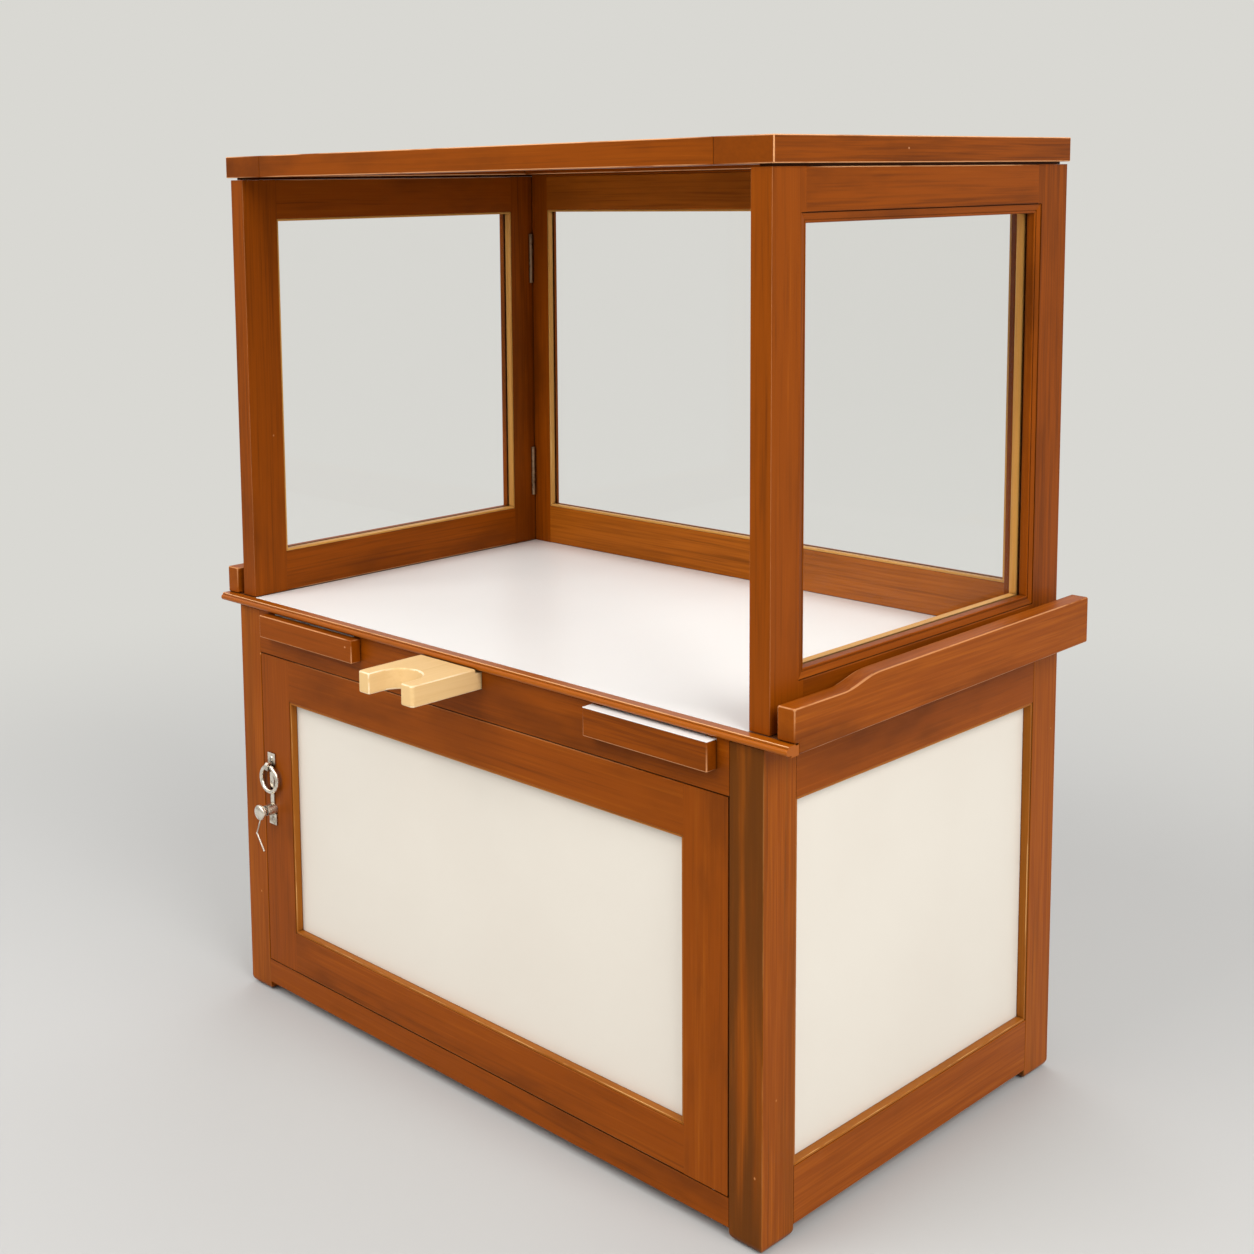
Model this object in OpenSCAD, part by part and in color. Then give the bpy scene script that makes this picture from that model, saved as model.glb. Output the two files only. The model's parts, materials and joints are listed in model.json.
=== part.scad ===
// Display cabinet with pull-out boards, in millimetres.
// A glazed upper case stands on the worktop of a low panelled cabinet. The case is open
// at the front, its two side frames fold inward onto the back frame, and its lid lifts off.
// X runs along the front, Y from front to back and Z up from the floor.

/* [Lower cabinet] */
// Width over the front posts
cabinet_w = 900; // [860:1:1000]
// Depth over the posts
cabinet_d = 578; // [540:1:640]
// Height of the carcass under the worktop
carcass_h = 546; // [500:1:620]
// Height of the bottom rails above the floor
foot_h = 14; // [8:1:30]
// Radius at the foot of each post
foot_r = 10; // [4:1:14]
// Width of a post, seen from the front
post_w = 44; // [38:1:52]
// Depth of a front post, seen from the side
front_post_d = 54; // [44:1:64]
// Depth of a back post, seen from the side
back_post_d = 56; // [44:1:64]
// Thickness of the rails
rail_t = 22; // [20:1:28]
// Height of the front bottom rail
front_rail_h = 33; // [26:1:45]
// Height of the apron above the door
apron_h = 59; // [54:1:70]
// Height of the top rails at the sides and back
top_rail_h = 63; // [50:1:75]
// Height of the bottom rails at the sides and back
bottom_rail_h = 65; // [50:1:75]
// Thickness of the bottom board
bottom_board_t = 9; // [6:1:15]

/* [Panels] */
// Thickness of a panel
panel_t = 6; // [4:0.5:7]
// Depth of a panel behind the face of its frame
panel_recess = 11; // [8:0.5:12]
// Depth of the groove that holds a panel
groove_d = 8; // [5:0.5:10]
// Thickness of a lining bead
bead_t = 3; // [2:0.5:5]
// Depth of a bead behind the face that it lines
bead_setback = 0.8; // [0.4:0.1:2]

/* [Door] */
// Width of the door's stiles
door_stile_w = 60; // [52:1:75]
// Height of the door's top rail
door_top_h = 57; // [45:1:70]
// Height of the door's bottom rail
door_bottom_h = 55; // [45:1:70]
// Gap round the door
door_gap = 1.5; // [1:0.1:3]
// Distance from the hinge edge to the pivot
pivot_inset = 20; // [18:1:26]
// Distance from the door's front face to the pivot
pivot_depth = 6; // [5:0.5:7]
// Radius of the pivot pins
pivot_r = 3; // [2:0.25:3.5]
// Depth that a pivot pin goes into the wood
pivot_hold = 12; // [8:1:18]

/* [Latch] */
// Distance from the door's latch edge to the spindle
latch_inset = 18; // [17:0.5:24]
// Height of the spindle above the floor
latch_z = 270; // [200:1:340]
// Radius of the spindle
spindle_r = 5; // [4:0.5:6]
// Distance from the door to the back of the knob's head
spindle_out = 22; // [17:0.5:30]
// Radius of the knob's head
knob_r = 10.5; // [9:0.5:15]
// Thickness of the knob's head
knob_t = 6; // [4:0.5:8]
// Mean radius of the ring
ring_r = 17.5; // [14:0.25:20]
// Radius of the ring's wire
ring_wire_r = 3; // [2:0.25:3.5]
// Size of the square ears of the latch plate
ear = 16; // [14:0.5:18]
// Width of the strap between the ears
strap_w = 8; // [6:0.5:12]
// Reach of the latch plate above the spindle
plate_up = 79; // [74:1:90]
// Reach of the latch plate below the spindle
plate_down = 22; // [22:1:30]
// Radius of the latch screws
latch_screw_r = 1.8; // [1.4:0.1:2]
// Thickness of the latch plate
plate_t = 2; // [1.5:0.1:3]
// Length of the cam from the spindle's axis
cam_len = 15; // [14:0.5:18]
// Thickness of the cam
cam_t = 3; // [2:0.5:4]
// Radius of the hook's wire
hook_wire_r = 1.1; // [0.8:0.1:1.5]

/* [Worktop] */
// Thickness of the worktop board
board_t = 11; // [9:0.5:18]
// Thickness of the laminate on the worktop and the pull-out boards
laminate_t = 1; // [0.8:0.1:1.5]
// Overhang of the worktop past the carcass at each side
worktop_side = 12; // [8:1:16]
// Distance that the front moulding stands proud of the carcass
moulding_out = 8; // [4:1:14]
// Distance that the front moulding reaches behind the carcass's face
moulding_in = 12; // [9:1:20]
// Height of the lip on top of the front moulding
moulding_lip = 2.5; // [1.5:0.5:4]

/* [Side beams] */
// Thickness of a beam
beam_t = 22; // [18:1:30]
// Height of a beam's low front part above the worktop
beam_low = 36; // [24:1:44]
// Height of a beam above the worktop behind its ogee step
beam_high = 46; // [40:1:66]
// Height of a beam's back end above the worktop
beam_end_high = 49.5; // [40:0.5:70]
// Length of the low front part
beam_low_len = 82; // [40:1:120]
// Length of the ogee step between the two heights
beam_step_len = 66; // [50:1:140]
// Distance from the carcass's face to the front end of a beam
beam_front = 5; // [1:0.5:7]
// Distance that a beam reaches past the back of the carcass
beam_back = 8; // [4:1:60]
// Rise of a beam's underside from its front to its back
beam_rise = 6; // [2:0.5:10]

/* [Pull-out boards] */
// Height of the left front bar
left_bar_h = 30; // [26:0.5:32]
// Height of the right front bar under its laminate
right_bar_h = 32; // [26:0.5:34]
// Thickness of the front bars
bar_t = 16; // [12:1:22]
// Width of the left front bar
left_bar_w = 196; // [180:1:214]
// Width of the right front bar
right_bar_w = 175; // [160:1:190]
// Distance from the left post to the left front bar
left_bar_in = 21.5; // [4:0.5:40]
// Distance from the right post to the right front bar
right_bar_in = 16.5; // [4:0.5:30]
// Gap between the pull-out boards and the worktop above
bar_top_gap = 1.5; // [1:0.5:6]
// Thickness of a pull-out board under its laminate
slide_t = 11; // [9:0.5:14]
// Length of a pull-out board behind its bar
slide_len = 270; // [230:1:300]
// Distance from a bar's end to the board's edge
slide_inset = 14; // [12:0.5:18]
// Travel of a pull-out board
slide_travel = 200; // [150:1:220]
// Width of a runner
runner_w = 16; // [14:1:18]
// Depth of a runner's groove
runner_groove = 8; // [5:0.5:10]
// Running clearance of the pull-out boards and the bracket
slide_gap = 0.5; // [0.3:0.1:0.8]
// Size of the stop strip under the back of a board
stop_strip = 10; // [6:1:12]

/* [Notched bracket] */
// Width of the bracket
bracket_w = 98; // [80:1:110]
// Thickness of the bracket
bracket_t = 26; // [22:1:30]
// Reach of the bracket in front of the moulding
bracket_out = 100; // [85:1:130]
// Length of the tongue behind the moulding
tongue_len = 90; // [60:1:120]
// Width of the notch
notch_w = 57; // [40:1:60]
// Depth of the notch
notch_d = 50; // [40:1:60]
// Centre of the bracket, across the front
bracket_x = -13; // [-60:1:60]
// Radius of the bracket's upright corners
bracket_r = 5; // [3:0.5:8]
// Height that the bracket's top stands above the moulding's underside
bracket_rise = 4; // [3:0.5:5]
// Wall of the guide that holds the tongue
guide_t = 12; // [8:1:18]

/* [Upper case] */
// Distance that the case stands out past the cabinet at each side
case_side = 1; // [0:0.5:4]
// Distance from the carcass's face to the front of the case
case_front = 8; // [8:1:20]
// Distance from the carcass's face to the back of the case
case_back = 570; // [530:1:575]
// Height of the case's frames
case_h = 567; // [500:1:640]
// Thickness of the side frames
frame_t = 26; // [24:0.5:28]
// Thickness of the back frame
back_frame_t = 20; // [18:0.5:22]
// Width of the side frames' front stile outside the glazing
front_stile_w = 47; // [40:1:60]
// Width of the side frames' back stile outside the glazing
back_stile_w = 56; // [50:1:66]
// Height of the side frames' top rail outside the glazing
side_top_h = 45; // [38:1:60]
// Height of the side frames' bottom rail outside the glazing
side_bottom_h = 47; // [38:1:60]
// Width of the back frame's stiles outside the glazing
rear_stile_w = 24; // [20:1:40]
// Height of the back frame's top rail outside the glazing
rear_top_h = 43; // [36:1:60]
// Height of the back frame's bottom rail outside the glazing
rear_bottom_h = 50; // [40:1:70]
// Gap between a side frame and the back frame, and under the side frames
fold_gap = 1; // [0.8:0.1:1.5]

/* [Glazing] */
// Width that the frames' inner lips cover past the rabbet
lip_w = 8; // [6:0.5:10]
// Width of the glazing moulding
glaze_w = 11; // [9:0.5:14]
// Depth of the glazing moulding on the side frames
glaze_d = 12; // [9:0.5:13]
// Depth of the glazing moulding on the back frame
rear_glaze_d = 8; // [6:0.5:9]
// Thickness of the glass
glass_t = 3; // [3:0.5:4]
// Clearance round the glass in its rabbet
glass_gap = 0.3; // [0.2:0.1:0.6]

/* [Case hinges] */
// Length of a hinge
hinge_len = 75; // [60:1:90]
// Distance from a frame's bottom to its lower hinge
hinge_low = 72; // [50:1:100]
// Distance from a frame's bottom to its upper hinge
hinge_high = 404; // [350:1:420]
// Radius of the knuckles
knuckle_r = 3.5; // [3:0.1:4]
// Radius of the hinge pins
hinge_pin_r = 1.5; // [1.2:0.1:1.8]
// Thickness of a hinge leaf
leaf_t = 1.4; // [1:0.1:1.8]
// Width of a hinge leaf behind the pin
leaf_w = 18; // [14:0.5:20]

/* [Lid] */
// Overhang of the lid past the case at the sides
lid_side = 5; // [2:1:20]
// Overhang of the lid past the front of the case
lid_front = 4; // [2:1:20]
// Distance that the lid stops short of the back of the case
lid_back = 2; // [0:0.5:4]
// Thickness of the lid's frame
lid_t = 28; // [22:1:35]
// Width of the lid's frame members
lid_member_w = 75; // [60:1:90]
// Thickness of the lid's panel
lid_panel_t = 6; // [4:0.5:9]
// Height of the strips under the lid
strip_t = 3; // [2:0.5:5]
// Width of the strips under the lid
strip_w = 14; // [8:1:18]
// Distance from the frames' outer faces to the strips
strip_in = 6; // [4:0.5:8]

/* [Hidden] */
$fn = 64;

STAIN = [0.55, 0.27, 0.10];
HONEY = [0.82, 0.60, 0.34];
CREAM = [0.93, 0.90, 0.83];
WHITE = [0.94, 0.94, 0.92];
PINE = [0.92, 0.78, 0.52];
PLY = [0.80, 0.66, 0.46];
NICKEL = [0.74, 0.71, 0.66];
GLASS = [0.80, 0.88, 0.86, 0.35];

// Overlap of a cutter past the face that it cuts
cut = 1;
// Gap left at a mitre so that its two strips stay separate
mitre_gap = 0.1;
// Radial clearance of a pin that turns in its bore
running = 0.05;

half_w = cabinet_w / 2;
inner_x = half_w - post_w;
back_post_y = cabinet_d - back_post_d;
apron_z = carcass_h - apron_h;
front_rail_top = foot_h + front_rail_h;
worktop_z = carcass_h + board_t + laminate_t;
worktop_half = half_w + worktop_side;
beam_outer = worktop_half + beam_t;
bracket_front = -moulding_out - bracket_out;
beam_end = cabinet_d + beam_back;
// The origin lies at the middle of the whole outline, on the floor
front_y = -(bracket_front + beam_end) / 2;

door_x0 = -inner_x + door_gap;
door_x1 = inner_x - door_gap;
door_z0 = front_rail_top + door_gap;
door_z1 = apron_z - door_gap;
pivot_x = door_x1 - pivot_inset;
latch_x = door_x0 + latch_inset;

left_bar_x = -inner_x + left_bar_in + left_bar_w / 2;
right_bar_x = inner_x - right_bar_in - right_bar_w / 2;
slide_top = carcass_h - bar_top_gap;
slide_bottom = slide_top - laminate_t - slide_t;
groove_bottom = slide_bottom - slide_gap;
tongue_top = carcass_h - slide_gap;
bracket_top = carcass_h + bracket_rise;
bracket_bottom = bracket_top - bracket_t;

case_half = half_w + case_side;
case_inner = case_half - frame_t;
side_len = case_back - case_front;
back_half = case_inner - fold_gap;
back_front_y = case_back - back_frame_t;
case_top = worktop_z + fold_gap + case_h;
side_z = worktop_z + fold_gap;
back_h = case_h + fold_gap;
hinge_x = case_inner - fold_gap / 2;
hinge_y = back_front_y - knuckle_r - 0.2;
leaf_gap = 0.1;
leaf_sink = leaf_t + leaf_gap / 2 - fold_gap / 2;

lid_z = case_top + strip_t;
lid_half = case_half + lid_side;
lid_y0 = case_front - lid_front;
lid_y1 = case_back - lid_back;

// Moves a piece from the carcass's own axes, with Y = 0 at its front face, to the origin
module at_front() translate([0, front_y, 0]) children();

// A box between two corners
module slab(low, high) translate(low) cube(high - low);

// The same shape at both sides of the cabinet
module both_sides() {
    children();
    mirror([1, 0, 0]) children();
}

// A strip along X with a profile of (depth, rise), mitred at both ends
module mitred_strip(length, rise, depth) {
    intersection() {
        rotate([90, 0, 90]) linear_extrude(length) children();
        translate([0, depth + cut, 0]) rotate([90, 0, 0]) linear_extrude(depth + 2 * cut)
            polygon([
                [mitre_gap, 0], [length - mitre_gap, 0],
                [length - rise - mitre_gap, rise], [rise + mitre_gap, rise]
            ]);
    }
}

// Four mitred strips round the inside of an opening, standing in the XZ plane
module mitred_ring(w, h, rise, depth) {
    mitred_strip(w, rise, depth) children();
    translate([0, 0, h]) mirror([0, 0, 1]) mitred_strip(w, rise, depth) children();
    mirror([1, 0, 0]) rotate([0, -90, 0]) mitred_strip(h, rise, depth) children();
    translate([w, 0, 0]) rotate([0, -90, 0]) mitred_strip(h, rise, depth) children();
}

// Four square lining beads round an opening, from the outer face inwards
module bead_ring(w, h, depth) {
    mitred_ring(w, h, bead_t, depth) square([depth, bead_t]);
}

// Section of the glazing moulding as (depth, rise): a quirk, a slope and a rounded nose
module glazing_section(depth) {
    nose_r = 2;
    quirk = 0.8;
    flat = 1.5;
    hull() {
        translate([quirk, 0]) square([depth - quirk, flat]);
        translate([depth - nose_r, glaze_w - nose_r]) circle(nose_r, $fn = 24);
        translate([depth - 1, 0]) square([1, glaze_w]);
    }
}

// Members of a glazed frame. The outer face is at y = 0, and x and z start at its corner
module glazed_rabbet(w, h, left, right, bottom, top, rabbet) {
    translate([left, -cut, bottom]) cube([w - left - right, rabbet + cut, h - bottom - top]);
}

module glazed_stiles(w, h, t, left, right, bottom, top, rabbet) {
    difference() {
        union() {
            cube([left + lip_w, t, h]);
            translate([w - right - lip_w, 0, 0]) cube([right + lip_w, t, h]);
        }
        glazed_rabbet(w, h, left, right, bottom, top, rabbet);
    }
}

module glazed_rails(w, h, t, left, right, bottom, top, rabbet) {
    length = w - left - right - 2 * lip_w;
    difference() {
        translate([left + lip_w, 0, 0]) {
            cube([length, t, bottom + lip_w]);
            translate([0, 0, h - top - lip_w]) cube([length, t, top + lip_w]);
        }
        glazed_rabbet(w, h, left, right, bottom, top, rabbet);
    }
}

module glazed_pane(w, h, left, right, bottom, top, depth) {
    translate([left + glass_gap, depth, bottom + glass_gap])
        cube([w - left - right - 2 * glass_gap, glass_t, h - bottom - top - 2 * glass_gap]);
}

module glazed_moulding(w, h, left, right, bottom, top, depth) {
    translate([left, 0, bottom])
        mitred_ring(w - left - right, h - bottom - top, glaze_w, depth) glazing_section(depth);
}

module glazed_beads(w, h, t, left, right, bottom, top, rabbet) {
    translate([left + lip_w, rabbet, bottom + lip_w])
        bead_ring(w - left - right - 2 * lip_w, h - bottom - top - 2 * lip_w,
                  t - rabbet - bead_setback);
}

// Carcass

// A post with its foot rounded at the corners that show
module post(w, d) {
    intersection() {
        rotate([90, 0, 0]) translate([0, 0, -d]) linear_extrude(d) foot_outline(w);
        rotate([90, 0, 90]) linear_extrude(w) foot_outline(d);
    }
}

// Outline of a post with rounded lower corners
module foot_outline(w) {
    translate([foot_r, 0]) square([w - 2 * foot_r, carcass_h]);
    translate([0, foot_r]) square([w, carcass_h - foot_r]);
    translate([foot_r, foot_r]) circle(foot_r);
    translate([w - foot_r, foot_r]) circle(foot_r);
}

// Grooves for the side panels, cut in the posts and the side rails
module side_groove() {
    both_sides()
        slab([half_w - panel_recess - panel_t, front_post_d - groove_d,
              foot_h + bottom_rail_h - groove_d],
             [half_w - panel_recess, back_post_y + groove_d, carcass_h - top_rail_h + groove_d]);
}

// Groove for the back panel, cut in the back posts and the back rails
module back_groove() {
    slab([-inner_x - groove_d, cabinet_d - panel_recess - panel_t,
          foot_h + bottom_rail_h - groove_d],
         [inner_x + groove_d, cabinet_d - panel_recess, carcass_h - top_rail_h + groove_d]);
}

module front_posts() {
    color(STAIN) at_front() difference() {
        both_sides() translate([inner_x, 0, 0]) post(post_w, front_post_d);
        side_groove();
    }
}

module back_posts() {
    color(STAIN) at_front() difference() {
        both_sides() translate([inner_x, back_post_y, 0]) post(post_w, back_post_d);
        side_groove();
        back_groove();
    }
}

// Notch in the top of the apron for a pull-out board
module slide_notch(x, w) {
    slab([x - w / 2 + slide_inset - slide_gap, -cut, groove_bottom],
         [x + w / 2 - slide_inset + slide_gap, rail_t + cut, carcass_h + cut]);
}

module front_apron() {
    color(STAIN) at_front() difference() {
        slab([-inner_x, 0, apron_z], [inner_x, rail_t, carcass_h]);
        slide_notch(left_bar_x, left_bar_w);
        slide_notch(right_bar_x, right_bar_w);
        slab([bracket_x - bracket_w / 2 - slide_gap, -cut, bracket_bottom - slide_gap],
             [bracket_x + bracket_w / 2 + slide_gap, rail_t + cut, carcass_h + cut]);
        translate([pivot_x, pivot_depth, apron_z - cut]) cylinder(r = pivot_r + running,
                                                                  h = pivot_hold + cut);
    }
}

module front_bottom_rail() {
    color(STAIN) at_front() difference() {
        slab([-inner_x, 0, foot_h], [inner_x, rail_t, front_rail_top]);
        translate([pivot_x, pivot_depth, front_rail_top - pivot_hold])
            cylinder(r = pivot_r + running, h = pivot_hold + cut);
    }
}

module back_rails() {
    color(STAIN) at_front() difference() {
        union() {
            slab([-inner_x, cabinet_d - rail_t, foot_h],
                 [inner_x, cabinet_d, foot_h + bottom_rail_h]);
            slab([-inner_x, cabinet_d - rail_t, carcass_h - top_rail_h],
                 [inner_x, cabinet_d, carcass_h]);
        }
        back_groove();
    }
}

module side_rails() {
    color(STAIN) at_front() difference() {
        both_sides() {
            slab([half_w - rail_t, front_post_d, foot_h],
                 [half_w, back_post_y, foot_h + bottom_rail_h]);
            slab([half_w - rail_t, front_post_d, carcass_h - top_rail_h],
                 [half_w, back_post_y, carcass_h]);
        }
        side_groove();
    }
}

// How far a panel goes into its groove
panel_in = groove_d - 0.3;
panel_z0 = foot_h + bottom_rail_h - panel_in;
panel_z1 = carcass_h - top_rail_h + panel_in;

module side_panels() {
    color(CREAM) at_front() both_sides()
        slab([half_w - panel_recess - panel_t, front_post_d - panel_in, panel_z0],
             [half_w - panel_recess, back_post_y + panel_in, panel_z1]);
}

module back_panel() {
    color(CREAM) at_front()
        slab([-inner_x - panel_in, cabinet_d - panel_recess - panel_t, panel_z0],
             [inner_x + panel_in, cabinet_d - panel_recess, panel_z1]);
}

// Thin beads that line the panel openings of the carcass
module panel_beads() {
    opening_h = carcass_h - top_rail_h - foot_h - bottom_rail_h;
    opening_z = foot_h + bottom_rail_h;
    depth = panel_recess - bead_setback;
    color(HONEY) at_front() {
        both_sides() translate([half_w - bead_setback, front_post_d, opening_z])
            rotate([0, 0, 90]) bead_ring(back_post_y - front_post_d, opening_h, depth);
        translate([-inner_x, cabinet_d - bead_setback, opening_z])
            mirror([0, 1, 0]) bead_ring(2 * inner_x, opening_h, depth);
    }
}

// Board notched round the four posts
module bottom_board() {
    low = front_rail_top - bottom_board_t;
    side = half_w - rail_t;
    color(PLY) at_front() {
        slab([-inner_x, rail_t, low], [inner_x, cabinet_d - rail_t, front_rail_top]);
        slab([-side, front_post_d, low], [side, back_post_y, front_rail_top]);
    }
}

// Depth of the door stop's front face behind the door
stop_gap = 1;
stop_w = 9;
stop_d = 10;

// Strip that the door closes against and the cam turns behind
module door_stop() {
    color(STAIN) at_front()
        slab([-inner_x, rail_t + stop_gap, front_rail_top],
             [-inner_x + stop_w, rail_t + stop_gap + stop_d, apron_z]);
}

// Worktop

module worktop_board() {
    color(PLY) at_front()
        slab([-worktop_half, moulding_in, carcass_h],
             [worktop_half, cabinet_d, carcass_h + board_t]);
}

module worktop_laminate() {
    color(WHITE) at_front()
        slab([-worktop_half, moulding_in, carcass_h + board_t],
             [worktop_half, cabinet_d, worktop_z]);
}

// Front moulding: a half-round nose under a small set-back lip
module worktop_moulding() {
    nose_h = board_t + laminate_t - moulding_lip;
    nose_r = nose_h / 2;
    lip_back = 3;
    color(STAIN) at_front() translate([-beam_outer, 0, 0])
        rotate([90, 0, 90]) linear_extrude(2 * beam_outer) {
            translate([nose_r - moulding_out, carcass_h + nose_r]) circle(nose_r);
            translate([nose_r - moulding_out, carcass_h])
                square([moulding_in + moulding_out - nose_r, nose_h]);
            translate([lip_back - moulding_out, carcass_h + nose_r])
                square([moulding_in + moulding_out - lip_back, nose_r + moulding_lip]);
        }
}

// Side view of a beam: a low front, an ogee step and a high back on a slightly rising sole
module beam_outline() {
    steps = 24;
    low_z = worktop_z + beam_low;
    rise = beam_high - beam_low;
    step_y = beam_front + beam_low_len;
    ogee = [for (i = [0 : steps])
        [step_y + beam_step_len * i / steps, low_z + rise * (1 - cos(180 * i / steps)) / 2]];
    polygon(concat(
        [[moulding_in, worktop_z], [beam_front, worktop_z], [beam_front, low_z]],
        ogee,
        [[beam_end, worktop_z + beam_end_high], [beam_end, carcass_h + beam_rise],
         [moulding_in, carcass_h]]
    ));
}

module beam() {
    translate([worktop_half, 0, 0]) rotate([90, 0, 90]) linear_extrude(beam_t) beam_outline();
}

module beam_left() color(STAIN) at_front() mirror([1, 0, 0]) beam();

module beam_right() color(STAIN) at_front() beam();

// Pull-out boards and the bracket

// Pair of rebated runners under the worktop for one pull-out board
module runner_pair(x, w) {
    runner_y1 = rail_t + slide_len;
    edge = w / 2 - slide_inset + slide_gap;
    for (side = [-1, 1])
        translate([x, 0, 0]) scale([side, 1, 1]) difference() {
            slab([edge - runner_groove, rail_t, groove_bottom - runner_groove],
                 [edge - runner_groove + runner_w, runner_y1, carcass_h]);
            slab([edge - runner_groove - cut, rail_t - cut, groove_bottom],
                 [edge, runner_y1 + cut, carcass_h + cut]);
        }
}

module tray_runners() {
    color(PINE) at_front() {
        runner_pair(left_bar_x, left_bar_w);
        runner_pair(right_bar_x, right_bar_w);
    }
}

// Front bar of a pull-out board, from its top edge down
module tray_bar(x, w, top, h) {
    color(STAIN) at_front() slab([x - w / 2, -bar_t, top - h], [x + w / 2, 0, top]);
}

module tray_board(x, w) {
    color(PLY) at_front()
        slab([x - w / 2 + slide_inset, 0, slide_bottom],
             [x + w / 2 - slide_inset, slide_len, slide_top - laminate_t]);
}

module tray_laminate(x, w) {
    slab([x - w / 2 + slide_inset, 0, slide_top - laminate_t],
         [x + w / 2 - slide_inset, slide_len, slide_top]);
}

// Strip that meets the back of the apron when the board is fully out
module tray_stop(x, w) {
    stop_y = rail_t + slide_travel + slide_gap;
    half = w / 2 - slide_inset - runner_groove - slide_gap - 1;
    color(PINE) at_front()
        slab([x - half, stop_y, slide_bottom - stop_strip],
             [x + half, stop_y + stop_strip, slide_bottom]);
}

module left_tray_bar() tray_bar(left_bar_x, left_bar_w, slide_top, left_bar_h);
module left_tray_board() tray_board(left_bar_x, left_bar_w);
module left_tray_laminate() color(WHITE) at_front() tray_laminate(left_bar_x, left_bar_w);
module left_tray_stop() tray_stop(left_bar_x, left_bar_w);
module right_tray_bar() tray_bar(right_bar_x, right_bar_w, slide_top - laminate_t, right_bar_h);
module right_tray_board() tray_board(right_bar_x, right_bar_w);
module right_tray_stop() tray_stop(right_bar_x, right_bar_w);

// On the right the laminate runs on over the top of the bar
module right_tray_laminate() {
    color(WHITE) at_front() {
        tray_laminate(right_bar_x, right_bar_w);
        slab([right_bar_x - right_bar_w / 2, -bar_t, slide_top - laminate_t],
             [right_bar_x + right_bar_w / 2, 0, slide_top]);
    }
}

// Channel under the worktop that holds the bracket's tongue
module bracket_guide() {
    half = bracket_w / 2 + slide_gap;
    low = bracket_bottom - slide_gap;
    color(PINE) at_front() translate([bracket_x, 0, 0]) difference() {
        slab([-half - guide_t, rail_t, low - guide_t],
             [half + guide_t, rail_t + tongue_len, carcass_h]);
        slab([-half, rail_t - cut, low], [half, rail_t + tongue_len + cut, carcass_h + cut]);
    }
}

// Plan of the bracket's head: a board with rounded corners and a round-ended notch
module bracket_plan() {
    half = bracket_w / 2;
    notch_r = notch_w / 2;
    y0 = bracket_front;
    difference() {
        union() {
            translate([-half, y0 + bracket_r]) square([bracket_w, bracket_out - bracket_r - 0.3]);
            translate([-half + bracket_r, y0]) square([bracket_w - 2 * bracket_r, bracket_r]);
            for (x = [-half + bracket_r, half - bracket_r])
                translate([x, y0 + bracket_r]) circle(bracket_r);
        }
        translate([-notch_r, y0 - cut]) square([notch_w, notch_d - notch_r + cut]);
        translate([0, y0 + notch_d - notch_r]) circle(notch_r);
    }
}

module notched_bracket() {
    half = bracket_w / 2;
    color(PINE) at_front() translate([bracket_x, 0, 0]) {
        translate([0, 0, bracket_bottom]) linear_extrude(bracket_t) bracket_plan();
        slab([-half, -moulding_out - bracket_r, bracket_bottom],
             [half, tongue_len - moulding_out, tongue_top]);
    }
}

// Door

door_w = door_x1 - door_x0;
door_h = door_z1 - door_z0;

// Space of the door's opening, grown by the groove at the panel's depth
module door_groove() {
    translate([door_stile_w - groove_d, panel_recess, door_bottom_h - groove_d])
        cube([door_w - 2 * door_stile_w + 2 * groove_d, panel_t,
              door_h - door_bottom_h - door_top_h + 2 * groove_d]);
}

module at_door() at_front() translate([door_x0, 0, door_z0]) children();

module door_stiles() {
    color(STAIN) at_door() difference() {
        union() {
            cube([door_stile_w, rail_t, door_h]);
            translate([door_w - door_stile_w, 0, 0]) cube([door_stile_w, rail_t, door_h]);
        }
        door_groove();
        translate([latch_inset, 0, -door_z0]) {
            translate([0, rail_t + cut, latch_z]) rotate([90, 0, 0])
                cylinder(r = spindle_r + running, h = rail_t + 2 * cut);
            each_latch_screw() translate([0, latch_screw_len, 0]) rotate([90, 0, 0])
                cylinder(r = latch_screw_r, h = latch_screw_len + cut);
        }
        for (z = [-cut, door_h - pivot_hold])
            translate([door_w - pivot_inset, pivot_depth, z])
                cylinder(r = pivot_r + running, h = pivot_hold + cut);
    }
}

module door_rails() {
    length = door_w - 2 * door_stile_w;
    color(STAIN) at_door() difference() {
        translate([door_stile_w, 0, 0]) {
            cube([length, rail_t, door_bottom_h]);
            translate([0, 0, door_h - door_top_h]) cube([length, rail_t, door_top_h]);
        }
        door_groove();
    }
}

module door_panel() {
    color(CREAM) at_door()
        translate([door_stile_w - panel_in, panel_recess, door_bottom_h - panel_in])
            cube([door_w - 2 * door_stile_w + 2 * panel_in, panel_t,
                  door_h - door_bottom_h - door_top_h + 2 * panel_in]);
}

module door_beads() {
    color(HONEY) at_door() translate([door_stile_w, bead_setback, door_bottom_h])
        bead_ring(door_w - 2 * door_stile_w, door_h - door_bottom_h - door_top_h,
                  panel_recess - bead_setback);
}

// Pins that the door turns on; the lower one has a washer that carries the door
module door_pivot_pins() {
    washer_r = 5;
    play = 0.1;
    length = 2 * pivot_hold + door_gap - 1;
    color(NICKEL) at_front() translate([pivot_x, pivot_depth, 0]) {
        translate([0, 0, front_rail_top - pivot_hold + 0.5]) cylinder(r = pivot_r, h = length);
        translate([0, 0, front_rail_top]) cylinder(r = washer_r, h = door_gap - play);
        translate([0, 0, door_z1 - pivot_hold + 0.5]) cylinder(r = pivot_r, h = length);
    }
}

// Latch

ear_top_z = latch_z + plate_up;
ear_low_z = latch_z - plate_down;
latch_screw_len = 14;
screw_head_r = 3.6;
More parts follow.
